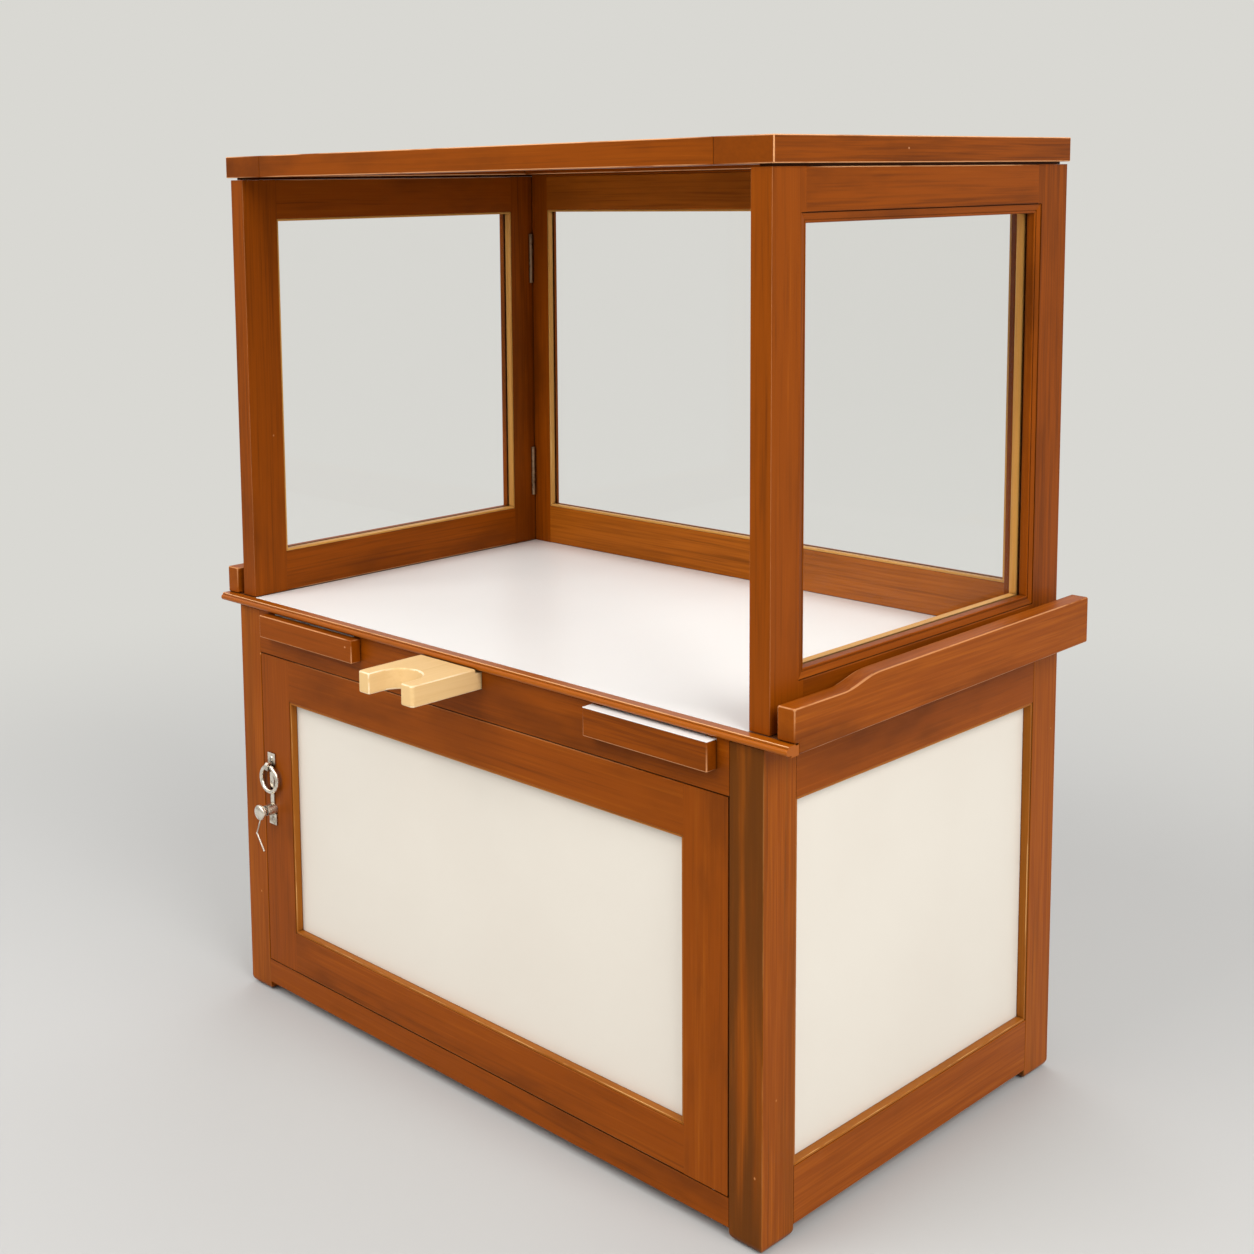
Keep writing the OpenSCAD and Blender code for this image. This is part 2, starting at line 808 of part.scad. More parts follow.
// Wall and clearance of the eye round the ring's wire
eye_wall = 2.5;
eye_play = 0.8;
eye_r = ring_wire_r + eye_play + eye_wall;
eye_z = ear_top_z - ear / 2 - screw_head_r - 0.5 - eye_r;
eye_y = -plate_t - 1.2 - ring_wire_r;

module each_latch_screw()
    for (z = [ear_top_z - ear / 2, ear_low_z + ear / 2]) translate([0, 0, z]) children();

// Places the latch's own axes: x across the door, z from the floor, y = 0 at the door's face
module at_latch() at_front() translate([latch_x, 0, 0]) children();

module latch_plate() {
    eye_w = 6;
    boss_r = spindle_r + 4;
    boss_t = 14;
    color(NICKEL) at_latch() difference() {
        union() {
            slab([-ear / 2, -plate_t, ear_top_z - ear], [ear / 2, 0, ear_top_z]);
            slab([-ear / 2, -plate_t, ear_low_z], [ear / 2, 0, ear_low_z + ear]);
            slab([-strap_w / 2, -plate_t, ear_low_z], [strap_w / 2, 0, ear_top_z]);
            translate([0, 0, latch_z]) rotate([90, 0, 0])
                cylinder(r1 = boss_r, r2 = boss_r - 2, h = boss_t);
            translate([-eye_w / 2, eye_y, eye_z]) rotate([0, 90, 0])
                cylinder(r = eye_r, h = eye_w);
            slab([-eye_w / 2, eye_y, eye_z - eye_r], [eye_w / 2, 0, eye_z + eye_r]);
        }
        translate([-eye_w, eye_y, eye_z]) rotate([0, 90, 0])
            cylinder(r = ring_wire_r + eye_play, h = 2 * eye_w);
        translate([0, cut, latch_z]) rotate([90, 0, 0])
            cylinder(r = spindle_r + running, h = boss_t + 2 * cut);
        each_latch_screw() translate([0, cut, 0]) rotate([90, 0, 0])
            cylinder(r = latch_screw_r, h = plate_t + 2 * cut);
    }
}

// Two round-headed screws with a cross slot
module latch_screws() {
    head_t = 1.8;
    dome_r = 5;
    slot = 0.8;
    color(NICKEL) at_latch() each_latch_screw()
        translate([0, -plate_t, 0]) rotate([90, 0, 0]) difference() {
            union() {
                translate([0, 0, 0.5 - plate_t - latch_screw_len])
                    cylinder(r = latch_screw_r, h = latch_screw_len + plate_t);
                intersection() {
                    cylinder(r = screw_head_r, h = head_t);
                    translate([0, 0, head_t - dome_r]) sphere(dome_r, $fn = 48);
                }
            }
            translate([-screw_head_r, -slot / 2, head_t - 1]) cube([2 * screw_head_r, slot, 2]);
            translate([-slot / 2, -screw_head_r, head_t - 1]) cube([slot, 2 * screw_head_r, 2]);
        }
}

// Ring that hangs in the eye of the plate
module latch_ring() {
    color(NICKEL) at_latch() translate([0, eye_y, eye_z - ring_r]) rotate([90, 0, 0])
        rotate_extrude($fn = 96) translate([ring_r, 0]) circle(ring_wire_r, $fn = 24);
}

// Knob and spindle turned as one piece; a thin tail carries the cam behind the door stop
cam_y = rail_t + stop_gap + stop_d + 0.3;
tail_r = 3;

module latch_knob() {
    edge_r = 2.2;
    color(NICKEL) at_latch() translate([0, 0, latch_z]) rotate([90, 0, 0]) rotate_extrude() {
        translate([0, 0.3 - cam_y]) square([spindle_r, spindle_out + cam_y - 0.3]);
        translate([0, -cam_y - cam_t]) square([tail_r, cam_y + cam_t]);
        translate([0, spindle_out]) {
            square([knob_r, knob_t - edge_r]);
            square([knob_r - edge_r, knob_t]);
            translate([knob_r - edge_r, knob_t - edge_r]) circle(edge_r, $fn = 32);
        }
    }
}

// Arm that turns behind the stop; it points down while the door is free to open
module latch_cam() {
    hub_r = 6;
    arm_r = 4;
    color(NICKEL) at_latch() translate([0, cam_y, latch_z]) rotate([-90, 0, 0])
        linear_extrude(cam_t) difference() {
            union() {
                circle(hub_r);
                translate([-arm_r, 0]) square([2 * arm_r, cam_len - arm_r]);
                translate([0, cam_len - arm_r]) circle(arm_r);
            }
            circle(tail_r);
        }
}

// Bent wire with an eye that hangs on the spindle behind the knob
module latch_hook() {
    eye_r = spindle_r + hook_wire_r + 0.6;
    hang_y = -spindle_out + hook_wire_r + 1.5;
    elbow = [-14, -34];
    tip = [1, -55];
    top = eye_r * elbow / norm(elbow);
    color(NICKEL) at_latch() translate([0, hang_y, latch_z]) rotate([90, 0, 0]) {
        rotate_extrude() translate([eye_r, 0]) circle(hook_wire_r + 0.2, $fn = 16);
        wire(top, elbow);
        wire(elbow, tip);
        translate(concat(elbow, 0)) sphere(hook_wire_r + 0.6, $fn = 24);
        translate(concat(tip, 0)) sphere(hook_wire_r + 0.3, $fn = 24);
    }
}

// Straight wire between two points of the XY plane
module wire(a, b) {
    run = b - a;
    translate([a[0], a[1], 0]) rotate([0, 0, atan2(run[1], run[0])]) rotate([0, 90, 0])
        cylinder(r = hook_wire_r, h = norm(run), $fn = 16);
}

// Upper case

side_rabbet = glaze_d + glass_t;
rear_rabbet = rear_glaze_d + glass_t;

// Places a side frame's own axes at the right of the case: x to the back, y inwards
module at_right() at_front() translate([case_half, case_front, side_z])
    rotate([0, 0, 90]) children();

module at_left() mirror([1, 0, 0]) at_right() children();

// Places the back frame's own axes: x across, y forwards from the back face
module at_back() at_front() translate([-back_half, case_back, worktop_z])
    mirror([0, 1, 0]) children();

module each_hinge() for (z = [hinge_low, hinge_high]) translate([0, 0, z]) children();

// Mortise of one hinge in a side frame: the leaf's bed and a groove for the knuckle
module side_mortise() {
    along = hinge_y - case_front;
    each_hinge() {
        translate([along, frame_t - leaf_sink, 0]) cube([leaf_w, leaf_sink + cut, hinge_len]);
        translate([along, frame_t + fold_gap / 2, -0.3])
            cylinder(r = knuckle_r + 0.3, h = hinge_len + 0.6);
    }
}

module side_stiles() {
    difference() {
        glazed_stiles(side_len, case_h, frame_t, front_stile_w, back_stile_w,
                      side_bottom_h, side_top_h, side_rabbet);
        side_mortise();
    }
}

module side_frame_rails() glazed_rails(side_len, case_h, frame_t, front_stile_w, back_stile_w,
                                       side_bottom_h, side_top_h, side_rabbet);

module side_pane() glazed_pane(side_len, case_h, front_stile_w, back_stile_w,
                               side_bottom_h, side_top_h, glaze_d);

module side_moulding() glazed_moulding(side_len, case_h, front_stile_w, back_stile_w,
                                       side_bottom_h, side_top_h, glaze_d);

module side_beads() glazed_beads(side_len, case_h, frame_t, front_stile_w, back_stile_w,
                                 side_bottom_h, side_top_h, side_rabbet);

module left_frame_stiles() color(STAIN) at_left() side_stiles();
module left_frame_rails() color(STAIN) at_left() side_frame_rails();
module left_frame_glass() color(GLASS) at_left() side_pane();
module left_frame_mouldings() color(STAIN) at_left() side_moulding();
module left_frame_beads() color(HONEY) at_left() side_beads();
module right_frame_stiles() color(STAIN) at_right() side_stiles();
module right_frame_rails() color(STAIN) at_right() side_frame_rails();
module right_frame_glass() color(GLASS) at_right() side_pane();
module right_frame_mouldings() color(STAIN) at_right() side_moulding();
module right_frame_beads() color(HONEY) at_right() side_beads();

module back_frame_stiles() {
    color(STAIN) at_back() difference() {
        glazed_stiles(2 * back_half, back_h, back_frame_t, rear_stile_w, rear_stile_w,
                      rear_bottom_h, rear_top_h, rear_rabbet);
        for (side = [0, 1])
            translate([side * 2 * back_half, case_back - hinge_y - leaf_w, fold_gap])
                scale([1 - 2 * side, 1, 1]) each_hinge()
                    translate([-cut, 0, 0]) cube([leaf_sink + cut, leaf_w, hinge_len]);
    }
}

module back_frame_rails() {
    color(STAIN) at_back()
        glazed_rails(2 * back_half, back_h, back_frame_t, rear_stile_w, rear_stile_w,
                     rear_bottom_h, rear_top_h, rear_rabbet);
}

module back_frame_glass() {
    color(GLASS) at_back()
        glazed_pane(2 * back_half, back_h, rear_stile_w, rear_stile_w,
                    rear_bottom_h, rear_top_h, rear_glaze_d);
}

module back_frame_mouldings() {
    color(STAIN) at_back()
        glazed_moulding(2 * back_half, back_h, rear_stile_w, rear_stile_w,
                        rear_bottom_h, rear_top_h, rear_glaze_d);
}

module back_frame_beads() {
    color(HONEY) at_back()
        glazed_beads(2 * back_half, back_h, back_frame_t, rear_stile_w, rear_stile_w,
                     rear_bottom_h, rear_top_h, rear_rabbet);
}

// Five knuckles share a hinge's length; the fixed leaf has the odd ones
knuckles = 5;
knuckle_gap = 0.3;

// One hinge leaf on the right of the case, on the outer or the inner side of its pin
module hinge_leaf(side, first) {
    pitch = hinge_len / knuckles;
    difference() {
        union() {
            translate([side > 0 ? leaf_gap / 2 : -leaf_gap / 2 - leaf_t, 0, 0])
                cube([leaf_t, leaf_w, hinge_len]);
            cylinder(r = knuckle_r, h = hinge_len);
        }
        for (i = [0 : knuckles - 1])
            if (i % 2 != first)
                translate([-knuckle_r - cut, -knuckle_r - cut, i * pitch - knuckle_gap / 2])
                    cube([2 * (knuckle_r + cut), 2 * knuckle_r + cut + 0.3,
                          pitch + knuckle_gap]);
        translate([0, 0, -cut]) cylinder(r = hinge_pin_r + running, h = hinge_len + 2 * cut);
    }
}

// Places a hinge's own axes at the pins on the right of the case
module at_hinges() at_front() translate([hinge_x, hinge_y, side_z]) each_hinge() children();

module right_hinge_leaves() color(NICKEL) at_hinges() hinge_leaf(1, 1);

module left_hinge_leaves() color(NICKEL) mirror([1, 0, 0]) at_hinges() hinge_leaf(1, 1);

module fixed_hinge_leaves() color(NICKEL) both_sides() at_hinges() hinge_leaf(-1, 0);

module case_hinge_pins() {
    color(NICKEL) both_sides() at_hinges() cylinder(r = hinge_pin_r, h = hinge_len);
}

// Lid

lid_panel_z = lid_z + 8;

module lid_panel_groove(grow) {
    slab([-lid_half + lid_member_w - grow, lid_y0 + lid_member_w - grow, lid_panel_z],
         [lid_half - lid_member_w + grow, lid_y1 - lid_member_w + grow,
          lid_panel_z + lid_panel_t]);
}

// Side members run the full depth and the front and back members fit between them
module lid_frame() {
    color(STAIN) at_front() difference() {
        union() {
            both_sides() slab([lid_half - lid_member_w, lid_y0, lid_z],
                              [lid_half, lid_y1, lid_z + lid_t]);
            for (y = [lid_y0, lid_y1 - lid_member_w])
                slab([-lid_half + lid_member_w + mitre_gap, y, lid_z],
                     [lid_half - lid_member_w - mitre_gap, y + lid_member_w, lid_z + lid_t]);
        }
        lid_panel_groove(groove_d);
    }
}

module lid_panel() color(STAIN) at_front() lid_panel_groove(panel_in);

// Strips under the lid; the two over the side frames end just clear, so the frames can fold
module lid_strips() {
    play = 0.2;
    outer = case_half - strip_in;
    color(STAIN) at_front() {
        both_sides() slab([outer - strip_w, case_front + strip_in, case_top + play],
                          [outer, case_back - strip_in, lid_z]);
        slab([-back_half, case_back - strip_in - strip_w, case_top],
             [back_half, case_back - strip_in, lid_z]);
    }
}

front_posts();
back_posts();
front_apron();
front_bottom_rail();
back_rails();
side_rails();
side_panels();
back_panel();
panel_beads();
bottom_board();
door_stop();
door_pivot_pins();
worktop_board();
worktop_laminate();
worktop_moulding();
beam_left();
beam_right();
tray_runners();
bracket_guide();
notched_bracket();
left_tray_bar();
left_tray_board();
left_tray_laminate();
left_tray_stop();
right_tray_bar();
right_tray_board();
right_tray_laminate();
right_tray_stop();
door_stiles();
door_rails();
door_panel();
door_beads();
latch_plate();
latch_screws();
latch_ring();
latch_knob();
latch_cam();
latch_hook();
back_frame_stiles();
back_frame_rails();
back_frame_glass();
back_frame_beads();
back_frame_mouldings();
left_frame_stiles();
left_frame_rails();
left_frame_glass();
left_frame_beads();
left_frame_mouldings();
left_hinge_leaves();
right_frame_stiles();
right_frame_rails();
right_frame_glass();
right_frame_beads();
right_frame_mouldings();
right_hinge_leaves();
fixed_hinge_leaves();
case_hinge_pins();
lid_frame();
lid_panel();
lid_strips();
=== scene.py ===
"""Looks of a display cabinet: a panelled lower cabinet with a glazed case on its worktop."""

from __future__ import annotations

import json
import logging
import math
import random
from dataclasses import dataclass, field
from enum import Enum

import bmesh
import bpy
from mathutils import Matrix, Vector
from mathutils.bvhtree import BVHTree

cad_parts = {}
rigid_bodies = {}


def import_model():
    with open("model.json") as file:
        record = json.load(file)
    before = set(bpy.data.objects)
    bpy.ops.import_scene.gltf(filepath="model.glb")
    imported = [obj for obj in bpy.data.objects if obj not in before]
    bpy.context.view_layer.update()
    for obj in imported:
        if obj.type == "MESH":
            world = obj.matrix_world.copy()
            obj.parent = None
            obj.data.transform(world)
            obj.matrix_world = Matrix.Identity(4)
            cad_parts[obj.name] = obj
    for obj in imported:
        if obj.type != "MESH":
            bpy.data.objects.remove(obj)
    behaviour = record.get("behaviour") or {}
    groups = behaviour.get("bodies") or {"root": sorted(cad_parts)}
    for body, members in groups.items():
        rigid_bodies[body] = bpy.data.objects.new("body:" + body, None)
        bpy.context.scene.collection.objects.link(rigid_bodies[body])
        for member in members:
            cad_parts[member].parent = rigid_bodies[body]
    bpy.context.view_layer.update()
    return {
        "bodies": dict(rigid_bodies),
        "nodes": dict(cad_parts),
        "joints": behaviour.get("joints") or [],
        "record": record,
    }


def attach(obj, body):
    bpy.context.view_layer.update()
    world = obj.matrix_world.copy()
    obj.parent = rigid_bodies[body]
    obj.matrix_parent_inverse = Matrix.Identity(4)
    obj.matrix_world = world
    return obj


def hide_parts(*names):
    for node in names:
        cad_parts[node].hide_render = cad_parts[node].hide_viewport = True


LOG = logging.getLogger("display_cabinet")
MM = 0.001
SEED = 20
# Y of the door's outer face in metres
DOOR_FACE = -0.239
# A face is end grain where its normal lies along the board by more than this
END_GRAIN = 0.8
# A bevel's face counts as a rubbed edge where no axis takes more of its normal than this
ARRIS_SLOPE = 0.97
# Points closer than this are one point, in metres
MERGE = 2e-6
# Angles in degrees: between faces that are one plane, at an eased edge, at a sharp edge
FLAT_DEG = 0.4
EASED_DEG = 30.0
SHARP_DEG = 32.0

Colour = tuple[float, float, float]


class Ends(Enum):
    """Which edges of a board a joiner eases."""

    LONG = "long edges only, because the ends meet other boards"
    ALL = "every edge, because the ends are free"


class NodeTree:
    """Small helper that adds and joins the nodes of one material or world."""

    def __init__(self, owner: bpy.types.Material | bpy.types.World,
                 output: str = "OutputMaterial") -> None:
        """Start with an empty tree.

        Args:
            owner: The material or world.
            output: Type of its output node, without the ShaderNode prefix.
        """
        owner.use_nodes = True
        self.owner = owner
        self.tree = owner.node_tree
        self.tree.nodes.clear()
        self.output = self.add(output)

    def feed(self, socket: bpy.types.NodeSocket, value: object) -> None:
        """Link an input to an output, or set it to a number, vector or colour."""
        if isinstance(value, bpy.types.NodeSocket):
            self.tree.links.new(value, socket)
        elif socket.type == "RGBA":
            socket.default_value = (*value, 1.0)
        else:
            socket.default_value = value

    def add(self, kind: str, **inputs: object) -> bpy.types.Node:
        """Add a node and feed its inputs.

        Args:
            kind: Type name of the node, without its ShaderNode prefix.
            **inputs: Values or output sockets by input name, with _ for a space.

        Returns:
            The new node.
        """
        node = self.tree.nodes.new("ShaderNode" + kind)
        for key, value in inputs.items():
            self.feed(node.inputs[key.replace("_", " ")], value)
        return node

    def work(self, kind: str, operation: str, *values: object) -> bpy.types.Node:
        """Add a node that does one operation on numbers, vectors or sockets."""
        node = self.add(kind)
        node.operation = operation
        for socket, value in zip(node.inputs, values):
            self.feed(socket, value)
        return node

    def math(self, operation: str, *values: object) -> bpy.types.NodeSocket:
        """Do one operation on numbers or sockets and return its result."""
        return self.work("Math", operation, *values).outputs[0]

    def around(self, value: bpy.types.NodeSocket, share: float) -> bpy.types.NodeSocket:
        """Turn a value from 0 to 1 into a shift of up to half a share either way."""
        return self.math("MULTIPLY", self.math("SUBTRACT", value, 0.5), share)

    def scaled(self, vector: bpy.types.NodeSocket, scale: Colour) -> bpy.types.NodeSocket:
        """Multiply a vector by a scale for each axis."""
        return self.work("VectorMath", "MULTIPLY", vector, scale).outputs[0]

    def noise(self, vector: bpy.types.NodeSocket, scale: float, detail: float,
              roughness: float = 0.55) -> bpy.types.NodeSocket:
        """Add a noise texture and return its value from 0 to 1."""
        return self.add("TexNoise", Vector=vector, Scale=scale, Detail=detail,
                        Roughness=roughness).outputs["Fac"]

    def ramp(self, value: bpy.types.NodeSocket, low: float, high: float) -> bpy.types.NodeSocket:
        """Stretch a value between two limits to 0 to 1, with a smooth step."""
        node = self.add("MapRange", Value=value, From_Min=low, From_Max=high)
        node.interpolation_type = "SMOOTHSTEP"
        return node.outputs["Result"]

    def mix(self, factor: object, a: object, b: object) -> bpy.types.NodeSocket:
        """Mix two colours, each a value or a socket, and return the mixed one."""
        node = self.add("Mix")
        node.data_type = "RGBA"
        for index, value in ((0, factor), (6, a), (7, b)):
            self.feed(node.inputs[index], value)
        return node.outputs[2]

    def blend(self, factor: bpy.types.NodeSocket, a: bpy.types.Node,
              b: bpy.types.Node) -> bpy.types.Node:
        """Blend two shaders and return the node that does it."""
        node = self.add("MixShader", Fac=factor)
        self.feed(node.inputs[1], a.outputs[0])
        self.feed(node.inputs[2], b.outputs[0])
        return node

    def attribute(self, name: str, output: str = "Fac") -> bpy.types.NodeSocket:
        """Read a value that the mesh carries."""
        node = self.add("Attribute")
        node.attribute_name = name
        return node.outputs[output]

    def place(self) -> bpy.types.NodeSocket:
        """Position on the piece, which moves with it."""
        return self.add("TexCoord").outputs["Object"]

    def seen(self) -> bpy.types.NodeSocket:
        """Value of 1 for rays of the camera, also through glass, and 0 for all others."""
        path = self.add("LightPath").outputs
        return self.math("MAXIMUM", path["Is Camera Ray"], path["Is Transmission Ray"])

    def crevice(self, reach: float) -> bpy.types.NodeSocket:
        """Value that rises from 0 in the open to 1 in corners, within a reach in metres."""
        open_sky, closed_in = 0.80, 0.25
        node = self.add("AmbientOcclusion", Distance=reach)
        node.samples = 6
        return self.ramp(node.outputs["AO"], open_sky, closed_in)

    def bump(self, height: bpy.types.NodeSocket, distance: float,
             strength: float) -> bpy.types.NodeSocket:
        """Turn a height into a normal."""
        return self.add("Bump", Height=height, Distance=distance,
                        Strength=strength).outputs["Normal"]

    def finish(self, shader: bpy.types.Node) -> bpy.types.ID:
        """Join a shader to the output and return the finished material or world."""
        self.feed(self.output.inputs["Surface"], shader.outputs[0])
        return self.owner


@dataclass(frozen=True)
class WoodFinish:
    """Wood with straight grain, cloudy stain, wear on its free edges, and painted shade with some
    grime in its corners.

    The scales are in steps per metre along the grain and across it.
    """

    BEND = (2.0, 7.0, 7.0)
    BEND_REACH = (0.0, 0.010, 0.010)
    BANDS = (1.4, 30.0, 30.0)
    STREAKS = (5.0, 210.0, 210.0)
    FIBRES = (9.0, 430.0, 430.0)
    LINES = (2.4, 230.0, 230.0)
    PATCHES = (9.0, 40.0, 40.0)
    KNOCKS = (42.0, 55.0, 55.0)
    CHOICES = (23.0, 29.0, 29.0)
    BAND_SHARE = 0.6
    STREAK_SHARE = 1.3
    FIBRE_SHARE = 0.9
    TONE_SHARE = 0.22
    END_CALM = 0.8
    # Reach and colour of the painted shade, with some grime, in corners and joints
    GRIME_AND_SHADE_REACH = 0.005
    GRIME_AND_SHADE = (0.020, 0.008, 0.003)
    GLOSS_TINT = (1.0, 0.60, 0.32)
    LINE_SPAN = (0.60, 0.76)
    CLOUD_SPAN = (0.46, 0.76)
    FRONT_STREAK_SPAN = (0.30, 0.52)
    KNOCK_SPAN = (0.09, 0.03)
    CHOICE_SPAN = (0.71, 0.75)
    RUB_FROM = 0.66
    RUB_GAIN = 0.4
    RUB_SPAN = 0.2
    BARE_SHARE = 0.95

    name: str
    light: Colour
    middle: Colour
    dark: Colour
    worn: Colour
    wear: float
    dings: float
    cloudy: float
    figure: float
    roughness: float = 0.42
    shine: float = 0.14
    coat: float = 0.01
    # Strength of the painted shade and grime in corners and joints
    grime_and_shade: float = 0.75
    cloud_scale: Colour = (4.5, 13.0, 13.0)
    front_streaks: float = 0.0

    def make(self) -> bpy.types.Material:
        """Build the wood's material."""
        t = NodeTree(bpy.data.materials.new(self.name))
        place = t.attribute("grain", "Vector")
        bend = t.add("TexNoise", Vector=t.scaled(place, self.BEND), Scale=1.0, Detail=1.0)
        warped = t.work("VectorMath", "MULTIPLY_ADD", bend.outputs["Color"], self.BEND_REACH,
                        place).outputs[0]
        bands = t.noise(t.scaled(warped, self.BANDS), 1.0, 2.0, 0.5)
        streaks = t.noise(t.scaled(warped, self.STREAKS), 1.0, 3.0, 0.6)
        fibre = t.noise(t.scaled(warped, self.FIBRES), 1.0, 2.0, 0.55)
        line = t.ramp(t.noise(t.scaled(warped, self.LINES), 1.0, 2.0, 0.6), *self.LINE_SPAN)
        cloud = t.noise(t.scaled(warped, self.cloud_scale), 1.0, 4.0, 0.55)
        # Bands, streaks and fibres shift the tone a little either way, least on end grain
        calm = t.math("MULTIPLY", t.attribute("end"), self.END_CALM)
        figure = t.math("MULTIPLY", self.figure, t.math("SUBTRACT", 1.0, calm))
        shift = t.math("ADD", t.around(bands, self.BAND_SHARE),
                       t.around(streaks, self.STREAK_SHARE))
        shift = t.math("ADD", shift, t.around(fibre, self.FIBRE_SHARE))
        # This shift carries each board's own random colour and the piece's painted light or shade
        shift = t.math("ADD", t.math("MULTIPLY", shift, figure),
                       t.around(t.attribute("tone_and_light"), self.TONE_SHARE))
        depth = t.math("ADD", 0.5, shift)
        colour = t.mix(t.ramp(depth, 0.0, 0.5), self.dark, self.middle)
        colour = t.mix(t.ramp(depth, 0.5, 1.0), colour, self.light)
        murk = t.math("MULTIPLY", t.ramp(cloud, *self.CLOUD_SPAN), self.cloudy)
        if self.front_streaks:
            # Cloudy streaks darken the right post's face that looks to the front
            facing = t.add("SeparateXYZ", Vector=t.add("NewGeometry").outputs["True Normal"])
            side = t.add("SeparateXYZ", Vector=t.place()).outputs["X"]
            front = t.math("MULTIPLY", t.math("LESS_THAN", facing.outputs["Y"], -0.5),
                           t.math("GREATER_THAN", side, 0.0))
            streaked = t.math("MULTIPLY", t.ramp(cloud, *self.FRONT_STREAK_SPAN), self.front_streaks)
            murk = t.math("MAXIMUM", murk, t.math("MULTIPLY", front, streaked))
        colour = t.mix(murk, colour, self.dark)
        colour = t.mix(t.math("MULTIPLY", t.math("MULTIPLY", line, 0.7), figure), colour,
                       self.dark)
        # Painted shade with some grime: corners, grooves and joints darken within a few millimetres
        grime_and_shade = t.math("MULTIPLY", t.crevice(self.GRIME_AND_SHADE_REACH), self.grime_and_shade)
        colour = t.mix(grime_and_shade, colour, self.GRIME_AND_SHADE)
        # The stain is rubbed thin along free edges and at small knocks
        patch = t.noise(t.scaled(place, self.PATCHES), 1.0, 4.0, 0.65)
        least = self.RUB_FROM - self.RUB_GAIN * self.wear
        rubbed = t.math("MULTIPLY", t.attribute("arris"),
                        t.ramp(patch, least, least + self.RUB_SPAN))
        rubbed = t.math("MULTIPLY", rubbed, t.attribute("free"))
        spots = t.add("TexVoronoi", Vector=t.scaled(place, self.KNOCKS), Scale=1.0)
        near = t.ramp(spots.outputs["Distance"], *self.KNOCK_SPAN)
        chosen = t.ramp(t.noise(t.scaled(place, self.CHOICES), 1.0, 0.0), *self.CHOICE_SPAN)
        ding = t.math("MULTIPLY", t.math("MULTIPLY", near, chosen), self.dings)
        bare = t.math("MINIMUM", t.math("ADD", rubbed, ding), 1.0)
        colour = t.mix(t.math("MULTIPLY", bare, self.BARE_SHARE), colour, self.worn)
        rough = t.math("ADD", self.roughness - 0.06, t.math("MULTIPLY", cloud, 0.14))
        rough = t.math("ADD", rough, t.math("MULTIPLY", bare, 0.16))
        height = t.math("SUBTRACT", t.math("MULTIPLY", fibre, 0.35),
                        t.math("ADD", t.math("MULTIPLY", line, 0.3 * self.figure),
                               t.math("MULTIPLY", ding, 1.5)))
        return t.finish(t.add("BsdfPrincipled", Base_Color=colour, Roughness=rough,
                              Normal=t.bump(height, 0.00008, 0.6), Coat_Weight=self.coat,
                              Coat_Roughness=0.2, Specular_IOR_Level=self.shine,
                              Specular_Tint=self.GLOSS_TINT))


@dataclass(frozen=True)
class SheetFinish:
    """Flat painted board or laminate with faint mottling and soft scuffs."""

    name: str
    colour: Colour
    shade: Colour
    roughness: float
    scuff: float = 0.3
    grain_bump: float = 0.00004
    rim: Colour | None = None
    rim_from: float = 0.4245

    def make(self) -> bpy.types.Material:
        """Build the sheet's material."""
        t = NodeTree(bpy.data.materials.new(self.name))
        place = t.place()
        cloud = t.noise(place, 5.0, 3.0, 0.5)
        speck = t.ramp(t.noise(place, 340.0, 1.0, 0.5), 0.70, 0.78)
        scuffs = t.ramp(t.noise(t.scaled(place, (14.0, 90.0, 14.0)), 1.0, 5.0, 0.7), 0.60, 0.80)
        colour = t.mix(t.math("MULTIPLY", t.ramp(cloud, 0.3, 0.75), 0.5), self.colour, self.shade)
        colour = t.mix(t.math("MULTIPLY", speck, 0.10), colour, self.shade)
        if self.rim:
            across = t.add("SeparateXYZ", Vector=place).outputs["X"]
            outside = t.math("GREATER_THAN", t.math("ABSOLUTE", across), self.rim_from)
            colour = t.mix(outside, colour, self.rim)
        rough = t.math("ADD", self.roughness, t.math("MULTIPLY", scuffs, 0.12 * self.scuff))
        fine = t.noise(place, 900.0, 2.0, 0.5)
        return t.finish(t.add("BsdfPrincipled", Base_Color=colour, Roughness=rough,
                              Normal=t.bump(fine, self.grain_bump, 0.6),
                              Specular_IOR_Level=0.3))


@dataclass(frozen=True)
class PlyFinish:
    """Plywood: a wood face and edges that show thin layers."""

    name: str
    face: Colour
    line: Colour
    layer: float = 0.0014

    def make(self) -> bpy.types.Material:
        """Build the plywood's material."""
        t = NodeTree(bpy.data.materials.new(self.name))
        place = t.attribute("grain", "Vector")
        height = t.add("SeparateXYZ", Vector=t.place()).outputs["Z"]
        bands = t.math("PINGPONG", height, self.layer)
        bands = t.ramp(t.math("DIVIDE", bands, self.layer), 0.35, 0.65)
        normal = t.add("SeparateXYZ", Vector=t.add("NewGeometry").outputs["True Normal"])
        upright = t.math("LESS_THAN", t.math("ABSOLUTE", normal.outputs["Z"]), 0.5)
        figure = t.noise(t.scaled(place, (2.0, 34.0, 34.0)), 1.0, 5.0, 0.6)
        colour = t.mix(t.ramp(figure, 0.3, 0.7), self.line, self.face)
        colour = t.mix(t.math("MULTIPLY", t.math("MULTIPLY", bands, upright), 0.7), colour,
                       self.line)
        return t.finish(t.add("BsdfPrincipled", Base_Color=colour, Roughness=0.62,
                              Normal=t.bump(figure, 0.0001, 0.4)))


